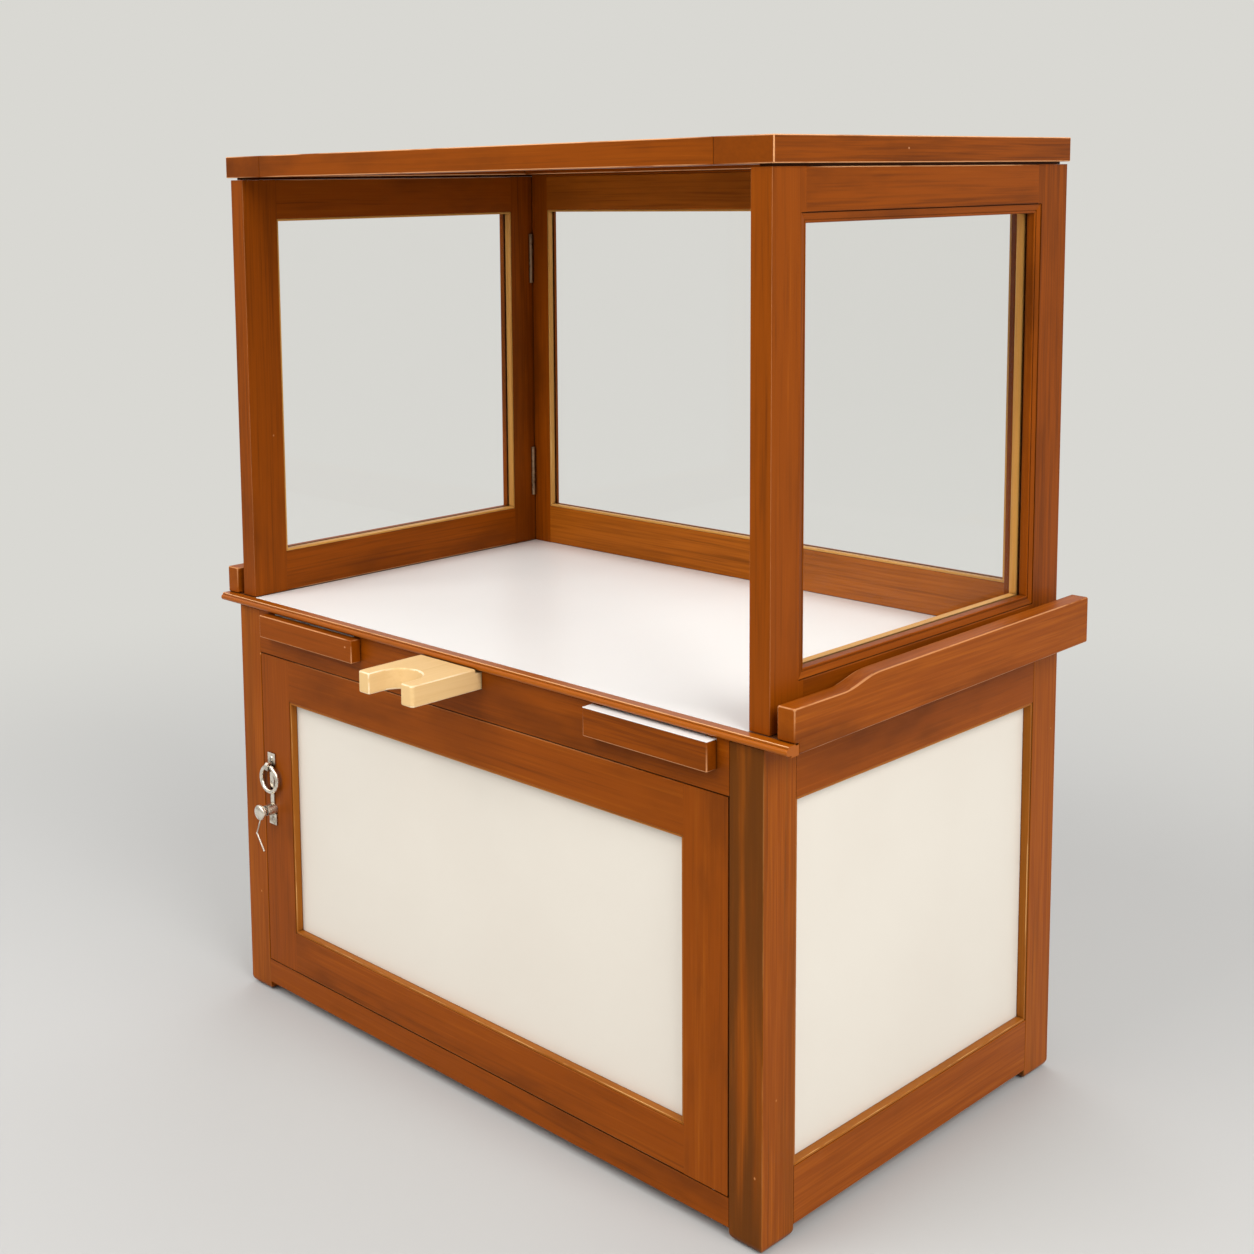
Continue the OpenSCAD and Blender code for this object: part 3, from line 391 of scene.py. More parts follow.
@dataclass(frozen=True)
class MetalFinish:
    """Worn plated metal with soft scratches, dull patches, and tarnish with painted shade in its
    crevices.
    """

    name: str
    colour: Colour
    dull: Colour
    roughness: float
    # Reach in metres and colour of the tarnish and painted shade in crevices
    tarnish_and_shade_reach: float = 0.009
    TARNISH_AND_SHADE = (0.030, 0.018, 0.010)

    def make(self) -> bpy.types.Material:
        """Build the metal's material."""
        t = NodeTree(bpy.data.materials.new(self.name))
        place = t.place()
        patch = t.ramp(t.noise(place, 110.0, 4.0, 0.6), 0.42, 0.70)
        scratch = t.ramp(t.noise(t.scaled(place, (900.0, 900.0, 60.0)), 1.0, 2.0, 0.5), 0.55, 0.8)
        colour = t.mix(t.math("MULTIPLY", patch, 0.75), self.colour, self.dull)
        # Tarnish and painted shade: crevices darken towards a dark brown
        colour = t.mix(t.crevice(self.tarnish_and_shade_reach), colour, self.TARNISH_AND_SHADE)
        rough = t.math("ADD", self.roughness, t.math("MULTIPLY", patch, 0.22))
        rough = t.math("ADD", rough, t.math("MULTIPLY", scratch, 0.08))
        return t.finish(t.add("BsdfPrincipled", Base_Color=colour, Roughness=rough,
                              Normal=t.bump(scratch, 0.00003, 0.5), Metallic=1.0))


@dataclass(frozen=True)
class GlassFinish:
    """Thin clear pane that lets light and shadow rays straight through."""

    name: str
    tint: Colour
    haze: float = 0.006
    mirror: float = 0.30
    face_on: float = 0.04
    DUST = (0.85, 0.85, 0.83)

    def make(self) -> bpy.types.Material:
        """Build the pane's material."""
        t = NodeTree(bpy.data.materials.new(self.name))
        place = t.place()
        smear = t.ramp(t.noise(t.scaled(place, (9.0, 9.0, 16.0)), 1.0, 5.0, 0.65), 0.45, 0.8)
        clear = t.add("BsdfTransparent", Color=self.tint)
        wavy = t.bump(t.noise(place, 6.0, 1.0, 0.4), 0.0004, 0.5)
        gloss = t.add("BsdfGlossy", Normal=wavy, Roughness=0.02)
        slant = t.add("LayerWeight", Blend=0.5).outputs["Facing"]
        fresnel = t.math("ADD", self.face_on, t.math("POWER", slant, 5.0))
        shine = t.blend(t.math("MULTIPLY", fresnel, self.mirror), clear, gloss)
        dust = t.add("BsdfDiffuse", Color=self.DUST)
        return t.finish(t.blend(t.math("MULTIPLY", smear, self.haze), shine, dust))


@dataclass(frozen=True)
class Finishes:
    """All finishes of the cabinet, made once."""

    stain: bpy.types.Material
    smoky: bpy.types.Material
    faded: bpy.types.Material
    polished: bpy.types.Material
    panel_bead: bpy.types.Material
    honey: bpy.types.Material
    pine: bpy.types.Material
    laminate: bpy.types.Material
    worktop: bpy.types.Material
    panel: bpy.types.Material
    ply: bpy.types.Material
    nickel: bpy.types.Material
    steel: bpy.types.Material
    glass: bpy.types.Material

    @classmethod
    def make_all(cls) -> "Finishes":
        """Make every finish."""
        return cls(
            stain=WoodFinish("stained_wood", light=(0.36, 0.088, 0.004),
                             middle=(0.255, 0.053, 0.001), dark=(0.120, 0.025, 0.001),
                             worn=(0.70, 0.34, 0.15), wear=0.95, dings=0.8,
                             cloudy=0.75, figure=0.65).make(),
            polished=WoodFinish("polished_moulding", light=(0.42, 0.115, 0.008),
                                middle=(0.36, 0.085, 0.002), dark=(0.20, 0.042, 0.002),
                                worn=(0.76, 0.42, 0.20), wear=1.0, dings=0.5, cloudy=0.5,
                                figure=0.5, roughness=0.3, shine=0.4).make(),
            smoky=WoodFinish("smoky_posts", light=(0.36, 0.088, 0.004),
                             middle=(0.250, 0.052, 0.001), dark=(0.100, 0.030, 0.003),
                             worn=(0.62, 0.26, 0.08), wear=0.75, dings=0.8,
                             cloudy=0.5, figure=0.7, cloud_scale=(1.8, 30.0, 30.0),
                             front_streaks=0.88).make(),
            # A lighter copy of the stain: painted light on the back frame's rails, which lie in the
            # lid's shade
            faded=WoodFinish("faded_rails", light=(0.51, 0.155, 0.018),
                             middle=(0.40, 0.106, 0.007), dark=(0.20, 0.050, 0.003),
                             worn=(0.72, 0.40, 0.18), wear=0.6, dings=0.6, cloudy=0.6,
                             figure=0.6).make(),
            panel_bead=WoodFinish("panel_beads", light=(0.44, 0.16, 0.022),
                                  middle=(0.35, 0.110, 0.012), dark=(0.18, 0.050, 0.005),
                                  worn=(0.66, 0.36, 0.13), wear=0.6, dings=0.2, cloudy=0.4,
                                  figure=0.5).make(),
            honey=WoodFinish("honey_beads", light=(0.72, 0.40, 0.11), middle=(0.60, 0.30, 0.07),
                             dark=(0.36, 0.15, 0.03), worn=(0.82, 0.55, 0.25), wear=0.45,
                             dings=0.2, cloudy=0.3, figure=0.5, shine=0.2).make(),
            pine=WoodFinish("pale_pine", light=(0.88, 0.66, 0.36), middle=(0.80, 0.55, 0.26),
                            dark=(0.64, 0.38, 0.14), worn=(0.94, 0.78, 0.54), wear=0.8,
                            dings=0.1, cloudy=0.08, figure=0.35, roughness=0.52,
                            coat=0.0).make(),
            laminate=SheetFinish("white_laminate", (0.905, 0.905, 0.895), (0.885, 0.88, 0.865),
                                 0.34).make(),
            worktop=SheetFinish("worktop_laminate", (0.905, 0.905, 0.895), (0.885, 0.88, 0.865),
                                0.34, rim=(0.10, 0.03, 0.008)).make(),
            panel=SheetFinish("cream_panel", (0.78, 0.733, 0.655), (0.745, 0.69, 0.612),
                              0.5).make(),
            ply=PlyFinish("ply_board", (0.62, 0.43, 0.24), (0.42, 0.26, 0.12)).make(),
            nickel=MetalFinish("worn_nickel", (0.84, 0.78, 0.67), (0.34, 0.28, 0.21),
                               0.20).make(),
            steel=MetalFinish("aged_steel", (0.30, 0.20, 0.12), (0.10, 0.055, 0.03),
                              0.38, tarnish_and_shade_reach=0.003).make(),
            glass=GlassFinish("window_glass", (0.997, 0.998, 0.997)).make(),
        )


@dataclass
class BoardMaker:
    """Turns the plain solids of a node into boards with eased edges and their own grain."""

    frame: dict
    rng: random.Random = field(default_factory=lambda: random.Random(SEED))
    contact: float = 0.0012
    contact_eases: float = 1.3
    stretch: float = 0.04
    trees: dict[str, BVHTree] = field(default_factory=dict)

    def tree_of(self, node: str) -> BVHTree:
        """Search tree of a node's solids, made once."""
        if node not in self.trees:
            mesh = self.frame["nodes"][node].data
            self.trees[node] = BVHTree.FromPolygons([v.co for v in mesh.vertices],
                                                    [p.vertices for p in mesh.polygons])
        return self.trees[node]

    def neighbours(self, node: str) -> list[BVHTree]:
        """Search trees of the nodes that come close to a node.

        Args:
            node: Name of the node.

        Returns:
            The trees of every other node whose box touches the node's box.
        """
        low, high = self.box_of(node)
        near = []
        for other in self.frame["nodes"]:
            if other == node:
                continue
            a, b = self.box_of(other)
            reach = 2 * self.contact
            if all(a[i] - reach < high[i] and b[i] + reach > low[i] for i in range(3)):
                near.append(self.tree_of(other))
        return near

    def box_of(self, node: str) -> tuple[Vector, Vector]:
        """Lowest and highest corner of a node's solids."""
        points = [v.co for v in self.frame["nodes"][node].data.vertices]
        return (Vector([min(p[i] for p in points) for i in range(3)]),
                Vector([max(p[i] for p in points) for i in range(3)]))

    @staticmethod
    def other_boards(bm: bmesh.types.BMesh, group: list[bmesh.types.BMVert]) -> BVHTree:
        """Search tree of a mesh's solids without the one that a group of vertices makes."""
        inside = {vert.index for vert in group}
        faces = [[v.index for v in face.verts] for face in bm.faces
                 if face.verts[0].index not in inside]
        return BVHTree.FromPolygons([v.co for v in bm.verts], faces)

    def body_of(self, node: str) -> str:
        """Name of the body that carries a node."""
        for body, nodes in self.frame["record"]["behaviour"]["bodies"].items():
            if node in nodes:
                return body
        raise KeyError(node)

    @staticmethod
    def islands(bm: bmesh.types.BMesh) -> list[list[bmesh.types.BMVert]]:
        """Find the separate solids of a mesh, each as its vertices."""
        seen: set[int] = set()
        found = []
        bm.verts.ensure_lookup_table()
        for start in bm.verts:
            if start.index in seen:
                continue
            seen.add(start.index)
            group, stack = [], [start]
            while stack:
                vert = stack.pop()
                group.append(vert)
                for edge in vert.link_edges:
                    other = edge.other_vert(vert)
                    if other.index not in seen:
                        seen.add(other.index)
                        stack.append(other)
            found.append(group)
        return found

    @staticmethod
    def long_axis(verts: list[bmesh.types.BMVert]) -> int:
        """Index of the axis along which a solid is longest."""
        spans = [max(v.co[i] for v in verts) - min(v.co[i] for v in verts) for i in range(3)]
        return spans.index(max(spans))

    def eased_edges(self, bm: bmesh.types.BMesh, ends: Ends) -> list[bmesh.types.BMEdge]:
        """Find the edges that a joiner eases, and divide them into short stretches.

        Args:
            bm: The solids.
            ends: Which edges are eased.

        Returns:
            The edges.
        """
        axis_of: dict[int, int] = {}
        for group in self.islands(bm):
            axis = self.long_axis(group)
            for vert in group:
                axis_of[vert.index] = axis
        eased = []
        for edge in bm.edges:
            if not edge.is_manifold or edge.calc_face_angle() < math.radians(EASED_DEG):
                continue
            run = (edge.verts[1].co - edge.verts[0].co).normalized()
            along = abs(run[axis_of[edge.verts[0].index]]) > 0.5
            if ends is Ends.ALL or along:
                eased.append(edge)
        counts = [int(edge.calc_length() / self.stretch) - 1 for edge in eased]
        for edge, count in list(zip(eased, counts)):
            if count > 0:
                split = bmesh.ops.bisect_edges(bm, edges=[edge], cuts=count)["geom_split"]
                eased.extend(e for e in split
                             if isinstance(e, bmesh.types.BMEdge) and e is not edge)
        return eased

    def board(self, node: str, material: bpy.types.Material, ease: float = 1.0,
              ends: Ends = Ends.LONG, segments: int = 3, rub: float = 1.0,
              tone_and_light: float = 0.5) -> bpy.types.Object:
        """Make a piece from a node's solids, with eased edges and its own grain.

        Args:
            node: Name of the node that the piece replaces.
            material: Its finish.
            ease: Width of the eased edges in millimetres.
            ends: Which edges are eased.
            segments: Steps across an eased edge.
            rub: Share of the wear on free edges.
            tone_and_light: Mean colour depth of its boards, 0.5 for the finish's own; values away
                from 0.5 are painted light or shade.

        Returns:
            The new piece, riding on the node's body.
        """
        bm = bmesh.new()
        bm.from_mesh(self.frame["nodes"][node].data)
        bmesh.ops.remove_doubles(bm, verts=bm.verts, dist=MERGE)
        bmesh.ops.dissolve_limit(bm, angle_limit=math.radians(FLAT_DEG), verts=bm.verts,
                                 edges=bm.edges)
        arris = bm.faces.layers.float.new("arris")
        bm.verts.index_update()
        eased = self.eased_edges(bm, ends)
        if ease > 0 and eased:
            made = bmesh.ops.bevel(bm, geom=eased, offset=ease * MM, offset_type="OFFSET",
                                   segments=segments, profile=0.5, affect="EDGES",
                                   clamp_overlap=True, loop_slide=True)
            bm.normal_update()
            for face in made["faces"]:
                steep = max(abs(part) for part in face.normal)
                face[arris] = float(steep < ARRIS_SLOPE or segments < 3)
        return self.coat(self.dress(bm, node, rub, tone_and_light, ease * MM), material, node)

    def dress(self, bm: bmesh.types.BMesh, node: str, rub: float = 1.0,
              tone_and_light: float = 0.5, ease: float = 0.0) -> bpy.types.Object:
        """Give solids their grain coordinates and make them a piece in a node's place.

        Args:
            bm: The solids.
            node: Name of the node that the piece replaces.
            rub: Share of the wear on free edges.
            tone_and_light: Mean colour depth of its boards, 0.5 for the finish's own; values away
                from 0.5 are painted light or shade.
            ease: Width of its eased edges in metres.

        Returns:
            The new piece, riding on the node's body.
        """
        bm.normal_update()
        bm.verts.index_update()
        place = bm.verts.layers.float_vector.new("grain")
        toned = bm.verts.layers.float.new("tone_and_light")
        free = bm.verts.layers.float.new("free")
        end = bm.faces.layers.float.new("end")
        near = self.neighbours(node)
        reach = max(self.contact, self.contact_eases * ease)
        boards = self.islands(bm)
        for group in boards:
            beside = [*near, self.other_boards(bm, group)] if len(boards) > 1 else near
            axis = self.long_axis(group)
            shift = Vector([self.rng.uniform(-3, 3) for _ in range(3)])
            # Away from 0.5 this is painted light or shade; the random share is each board's own
            # colour
            shade = tone_and_light + self.rng.random() - 0.5
            for vert in group:
                co = vert.co
                turned = Vector((co[axis], co[(axis + 1) % 3], co[(axis + 2) % 3]))
                vert[place] = turned + shift
                vert[toned] = shade
                vert[free] = rub * all(t.find_nearest(co, reach)[0] is None for t in beside)
            for face in {face for vert in group for face in vert.link_faces}:
                face[end] = float(abs(face.normal[axis]) > END_GRAIN)
        for face in bm.faces:
            face.smooth = True
        mesh = bpy.data.meshes.new(node + "_mesh")
        bm.to_mesh(mesh)
        bm.free()
        piece = bpy.data.objects.new(node + "_eased", mesh)
        bpy.context.scene.collection.objects.link(piece)
        mesh.set_sharp_from_angle(angle=math.radians(SHARP_DEG))
        weighted = piece.modifiers.new("face_weight", "WEIGHTED_NORMAL")
        weighted.keep_sharp = True
        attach(piece, self.body_of(node))
        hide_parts(node)
        return piece

    def shaped(self, node: str, bm: bmesh.types.BMesh,
               material: bpy.types.Material) -> bpy.types.Object:
        """Make a piece from finer solids than its node's, and return it."""
        return self.coat(self.dress(bm, node), material, node)

    def coat(self, piece: bpy.types.Object, material: bpy.types.Material,
             node: str) -> bpy.types.Object:
        """Give a piece its finish and return it."""
        piece.data.materials.clear()
        piece.data.materials.append(material)
        LOG.info("%s: %d faces", piece.name, len(piece.data.polygons))
        return piece

    def plain(self, node: str, material: bpy.types.Material) -> None:
        """Give a node that keeps its own shape a finish."""
        mesh = self.frame["nodes"][node].data
        mesh.materials.clear()
        mesh.materials.append(material)
        LOG.info("%s keeps its solid", node)


class Forms:
    """Solids swept or turned from an outline, in metres."""

    @staticmethod
    def prism(bm: bmesh.types.BMesh, first: list[Vector], last: list[Vector]) -> None:
        """Add a closed solid between two outlines with as many points.

        Args:
            bm: The mesh that it is added to.
            first: Points of one end.
            last: Points of the other end.
        """
        a = [bm.verts.new(p) for p in first]
        b = [bm.verts.new(p) for p in last]
        count = len(a)
        for i in range(count):
            j = (i + 1) % count
            bm.faces.new((a[i], a[j], b[j], b[i]))
        bm.faces.new(list(reversed(a)))
        bm.faces.new(b)

    @staticmethod
    def arc(centre: tuple[float, float], radius: float, start: float, stop: float,
            steps: int = 12) -> list[tuple[float, float]]:
        """Points of an arc between two angles in degrees."""
        angles = [math.radians(start + (stop - start) * i / steps) for i in range(steps + 1)]
        return [(centre[0] + radius * math.cos(a), centre[1] + radius * math.sin(a))
                for a in angles]

    @classmethod
    def bar(cls, outline: list[tuple[float, float]], low_x: float,
            high_x: float) -> bmesh.types.BMesh:
        """Sweep an outline of (y, z) along X.

        Args:
            outline: Its points.
            low_x: Start of the sweep.
            high_x: End of the sweep.

        Returns:
            The solid.
        """
        bm = bmesh.new()
        cls.prism(bm, [Vector((low_x, y, z)) for y, z in outline],
                  [Vector((high_x, y, z)) for y, z in outline])
        bmesh.ops.recalc_face_normals(bm, faces=bm.faces)
        return bm

    @classmethod
    def ring(cls, outline: list[tuple[float, float]], low: Vector, high: Vector, axis: int,
             outwards: int) -> bmesh.types.BMesh:
        """Sweep an outline round a rectangle as four mitred members.

        Args:
            outline: Points as (depth from the outer face, rise towards the opening).
            low: Lowest corner of the ring's box.
            high: Highest corner of the ring's box.
            axis: Axis across the frame, 0 or 1.
            outwards: 1 where the outer face looks to the axis's positive side, else -1.

        Returns:
            The four solids.
        """
        bm = bmesh.new()
        along = 1 - axis
        face = high[axis] if outwards > 0 else low[axis]
        corners = [(low[along], low[2], 1, 1), (high[along], low[2], -1, 1),
                   (high[along], high[2], -1, -1), (low[along], high[2], 1, -1)]

        def section(corner: tuple[float, float, int, int]) -> list[Vector]:
            """The outline at one mitred corner."""
            u, v, du, dv = corner
            points = []
            for depth, rise in outline:
                point = Vector((0.0, 0.0, v + dv * rise))
                point[axis] = face - outwards * depth
                point[along] = u + du * rise
                points.append(point)
            return points

        for i in range(4):
            cls.prism(bm, section(corners[i]), section(corners[(i + 1) % 4]))
        bmesh.ops.recalc_face_normals(bm, faces=bm.faces)
        return bm

    @staticmethod
    def turned(outline: list[tuple[float, float]], x: float, z: float,
               steps: int = 48) -> bmesh.types.BMesh:
        """Turn an outline of (radius, y) about an axis along Y.

        Args:
            outline: Its points; the first and the last lie on the axis.
            x: Place of the axis.
            z: Height of the axis.
            steps: Steps round the axis.

        Returns:
            The solid.
        """
        bm = bmesh.new()
        first = bm.verts.new((x, outline[0][1], z))
        last = bm.verts.new((x, outline[-1][1], z))
        rings = []
        for radius, y in outline[1:-1]:
            angles = [2 * math.pi * i / steps for i in range(steps)]
            rings.append([bm.verts.new((x + radius * math.cos(a), y, z + radius * math.sin(a)))
                          for a in angles])
        for i in range(steps):
            j = (i + 1) % steps
            bm.faces.new((first, rings[0][j], rings[0][i]))
            for a, b in zip(rings, rings[1:]):
                bm.faces.new((a[i], a[j], b[j], b[i]))
            bm.faces.new((last, rings[-1][i], rings[-1][j]))
        bmesh.ops.recalc_face_normals(bm, faces=bm.faces)
        return bm


@dataclass
class LowerCabinet:
    """Posts, rails, panels and beads under the worktop."""

    maker: BoardMaker
    finishes: Finishes
    post_ease: float = 2.0
    rail_ease: float = 0.8
    bead_ease: float = 0.6
    ply_ease: float = 0.5

    def build(self) -> None:
        """Build and dress every piece of the carcass."""
        stain = self.finishes.stain
        # Painted light: the posts are made lighter
        for node in ("front_posts", "back_posts"):
            self.maker.board(node, self.finishes.smoky, self.post_ease,
                             Ends.ALL, rub=0.25, tone_and_light=1.0)
        # Painted light: the side rails are made lighter, as the light falls more on the sides
        for node, tone_and_light in (("front_apron", 0.5), ("front_bottom_rail", 0.5), ("back_rails", 0.5),
                           ("side_rails", 1.1), ("door_stop", 0.5)):
            self.maker.board(node, stain, self.rail_ease, rub=0.3, tone_and_light=tone_and_light)
        self.maker.board("panel_beads", self.finishes.panel_bead, self.bead_ease)
        self.maker.board("bottom_board", self.finishes.ply, self.ply_ease, Ends.ALL)
        for node in ("side_panels", "back_panel"):
            self.maker.board(node, self.finishes.panel, 0.0)
        self.maker.plain("door_pivot_pins", self.finishes.nickel)


@dataclass
class Worktop:
    """White worktop, its front moulding and the two side beams."""

    maker: BoardMaker
    finishes: Finishes
    beam_ease: float = 2.2
    ply_ease: float = 0.4
    sheet_ease: float = 0.3
    nose_r: float = 0.0038
    nose_up: float = 0.002
    sole_back: float = 0.008
    lip: float = 0.0022
    lip_back: float = 0.0028
    lip_tilt: float = 0.4
    groove: float = 0.0012
    lap: float = 0.004

    def moulding(self) -> None:
        """Build the front moulding: a half-round nose, a small lip and a fine groove."""
        low, high = self.maker.box_of("worktop_moulding")
        edge, sole = low[1] + self.sole_back, low[2] + self.nose_up
        centre = (low[1] + self.nose_r, sole + self.nose_r)
        nose = Forms.arc(centre, self.nose_r, 270.0, 100.0)
        lip_y, back = low[1] + self.lip_back, high[1] - self.lap
        quirk = high[2] - self.lip - self.groove / 2
        outline = [(high[1], low[2]), (edge, low[2]), (edge, sole), *nose,
                   (lip_y + self.groove, quirk), (lip_y, high[2] - self.lip),
                   (lip_y, high[2] - self.groove / 2), (lip_y + self.groove / 2, high[2]),
                   (back - self.groove, high[2]), (back - self.groove, high[2] - self.groove),
                   (back, high[2] - self.groove), (high[1], high[2] - self.groove)]
        bm = Forms.bar(outline, low[0], high[0])
        arris = bm.faces.layers.float.new("arris")
        for face in bm.faces:
            on_lip = face.calc_center_median()[2] > high[2] - self.lip
            if on_lip and min(-face.normal[1], face.normal[2]) > self.lip_tilt:
                face[arris] = 1.0
        self.maker.shaped("worktop_moulding", bm, self.finishes.polished)

    def build(self) -> None:
        """Build and dress the worktop's pieces."""
        self.maker.board("worktop_board", self.finishes.ply, self.ply_ease, Ends.ALL)
        sheet = self.maker.board("worktop_laminate", self.finishes.worktop, self.sheet_ease,
                                 Ends.ALL, 2)
        # The sheet laps a little over the moulding
        front = min(v.co[1] for v in sheet.data.vertices)
        for vert in sheet.data.vertices:
            if vert.co[1] < front + self.lap:
                vert.co[1] -= self.lap
        self.moulding()
        # Painted light: the beams are made lighter
        for node in ("beam_left", "beam_right"):
            self.maker.board(node, self.finishes.stain, self.beam_ease,
                             Ends.ALL, 4, rub=0.6, tone_and_light=1.0)


@dataclass
class PullOuts:
    """The two pull-out boards, the notched bracket and what they run in."""

    maker: BoardMaker
    finishes: Finishes
    bar_ease: float = 1.2
    ply_ease: float = 0.4
    sheet_ease: float = 0.25
    stop_ease: float = 0.8
    runner_ease: float = 0.6
    bracket_ease: float = 2.6

    def build(self) -> None:
        """Build and dress the sliding pieces."""
        for side in ("left", "right"):
            # Painted shade: the bars are made darker
            self.maker.board(f"{side}_tray_bar", self.finishes.stain,
                             self.bar_ease, Ends.ALL, rub=0.7, tone_and_light=0.2)
            self.maker.board(f"{side}_tray_board", self.finishes.ply, self.ply_ease, Ends.ALL)
            self.maker.board(f"{side}_tray_laminate", self.finishes.laminate, self.sheet_ease,
                             Ends.ALL, 2)
            self.maker.board(f"{side}_tray_stop", self.finishes.pine, self.stop_ease, Ends.ALL)
        for node in ("tray_runners", "bracket_guide"):
            self.maker.board(node, self.finishes.pine, self.runner_ease)
        self.maker.board("notched_bracket", self.finishes.pine, self.bracket_ease, Ends.ALL, 4)


@dataclass
class Door:
    """Panelled door with its latch hardware."""

    maker: BoardMaker
    finishes: Finishes
    frame_ease: float = 0.9
    bead_ease: float = 0.6
    spindle_r: float = 0.005
    head_r: float = 0.0105
    head_back: float = 0.022
    head_rim: float = 0.0024
    head_chamfer: float = 0.0004
    dome_steps: int = 10
    tail_r: float = 0.003

    def knob(self) -> None:
        """Build the latch's knob: a spindle with a domed head."""
        low, high = self.maker.box_of("latch_knob")
        x, z = (low[0] + high[0]) / 2, (low[2] + high[2]) / 2
        face = low[1]
        back = DOOR_FACE - self.head_back
        crown = back - face - self.head_rim
        angles = [math.radians(90 * (i + 1) / self.dome_steps) for i in range(self.dome_steps)]
        dome = [(self.head_r * math.sin(a), face + crown * (1 - math.cos(a))) for a in angles]
        outline = [(0.0, face), *dome, (self.head_r, back - self.head_chamfer),
                   (self.head_r - self.head_chamfer, back), (self.spindle_r, back),
                   (self.spindle_r, DOOR_FACE), (self.tail_r, DOOR_FACE),
                   (self.tail_r, high[1]), (0.0, high[1])]
        self.maker.shaped("latch_knob", Forms.turned(outline, x, z), self.finishes.nickel)

    def build(self) -> None:
        """Build and dress the door and its latch."""
        for node in ("door_stiles", "door_rails"):
            self.maker.board(node, self.finishes.stain, self.frame_ease, rub=0.25)
        self.maker.board("door_beads", self.finishes.panel_bead, self.bead_ease)
        self.maker.board("door_panel", self.finishes.panel, 0.0)
        for node, ease in (("latch_plate", 0.4), ("latch_screws", 0.15), ("latch_cam", 0.3)):
            self.maker.board(node, self.finishes.nickel, ease, Ends.ALL, 2)
        self.knob()
        for node in ("latch_ring", "latch_hook"):
            self.maker.board(node, self.finishes.nickel, 0.0)


@dataclass
class GlazedCase:
    """Three glazed frames, their mouldings, beads and hinges, and the lid."""

    maker: BoardMaker
    finishes: Finishes
    frame_ease: float = 1.2
    lid_ease: float = 1.6
    bead_ease: float = 0.5
    hinge_ease: float = 0.15
    strip_ease: float = 0.4
    quirk: float = 0.0010
    quirk_deep: float = 0.0035
    groove_deep: float = 0.0024
    groove_wide: float = 0.0005
    bead_from: float = 0.0074
    bead_fall: float = 0.0016
    rise: float = 0.011

    def moulding(self, part: str) -> None:
        """Build one frame's mouldings: a quirk, a sloping band, a fine groove and a bead."""
        node = f"{part}_frame_mouldings"
        low, high = self.maker.box_of(node)
        axis = 1 if part == "back" else 0
        outwards = -1 if part == "left" else 1
        deep, wide = high[axis] - low[axis], self.rise
        bead_r = (wide - self.bead_from - self.quirk) / 2
        bead = Forms.arc((self.bead_fall + bead_r, wide - bead_r), bead_r, 250.0, 90.0, 8)
        outline = [(deep, 0.0), (self.quirk_deep, 0.0), (self.quirk_deep, self.quirk),
                   (0.0, self.quirk), (self.bead_fall, self.bead_from),
                   (self.groove_deep, self.bead_from),
                   (self.groove_deep, self.bead_from + self.groove_wide), *bead, (deep, wide)]
        self.maker.shaped(node, Forms.ring(outline, low, high, axis, outwards), self.finishes.stain)

    def build(self) -> None:
        """Build and dress the upper case and its lid."""
        for part in ("back", "left", "right"):
            # The back frame's rails take the lighter copy of the stain as painted light
            rails = self.finishes.faded if part == "back" else self.finishes.stain
            # Painted shade: the case's stiles and rails are made darker
            self.maker.board(f"{part}_frame_stiles", self.finishes.stain,
                             self.frame_ease, tone_and_light=-0.15)
            self.maker.board(f"{part}_frame_rails", rails, self.frame_ease, tone_and_light=0.1)
            self.moulding(part)
            self.maker.board(f"{part}_frame_beads", self.finishes.honey, self.bead_ease)
            self.maker.plain(f"{part}_frame_glass", self.finishes.glass)
        for node in ("left_hinge_leaves", "right_hinge_leaves", "fixed_hinge_leaves",
                     "case_hinge_pins"):
            self.maker.board(node, self.finishes.steel, self.hinge_ease, Ends.ALL, 2)
        # Painted shade: the lid frame is made darker
        self.maker.board("lid_frame", self.finishes.stain, self.lid_ease, Ends.ALL, tone_and_light=-0.1)
        self.maker.board("lid_panel", self.finishes.stain, 0.0)
        self.maker.board("lid_strips", self.finishes.stain, self.strip_ease, Ends.ALL)


@dataclass(frozen=True)
class Lamp:
    """One soft square lamp, with its place, aim and size in metres and its power in watts."""

    name: str
    place: Colour
    power: float
    aim: Colour = (0.0, 0.0, 0.6)
    size: float = 2.8
    colour: Colour = (1.0, 0.98, 0.95)

    def hang(self) -> None:
        """Hang the lamp and turn it to its aim."""
        data = bpy.data.lights.new(self.name, "AREA")
        data.shape = "SQUARE"
        data.size = self.size
        data.energy = self.power
        data.color = self.colour
        lamp = bpy.data.objects.new(self.name, data)
        lamp.location = self.place
        run = Vector(self.aim) - Vector(self.place)
        lamp.rotation_euler = run.to_track_quat("-Z", "Y").to_euler()
        bpy.context.scene.collection.objects.link(lamp)


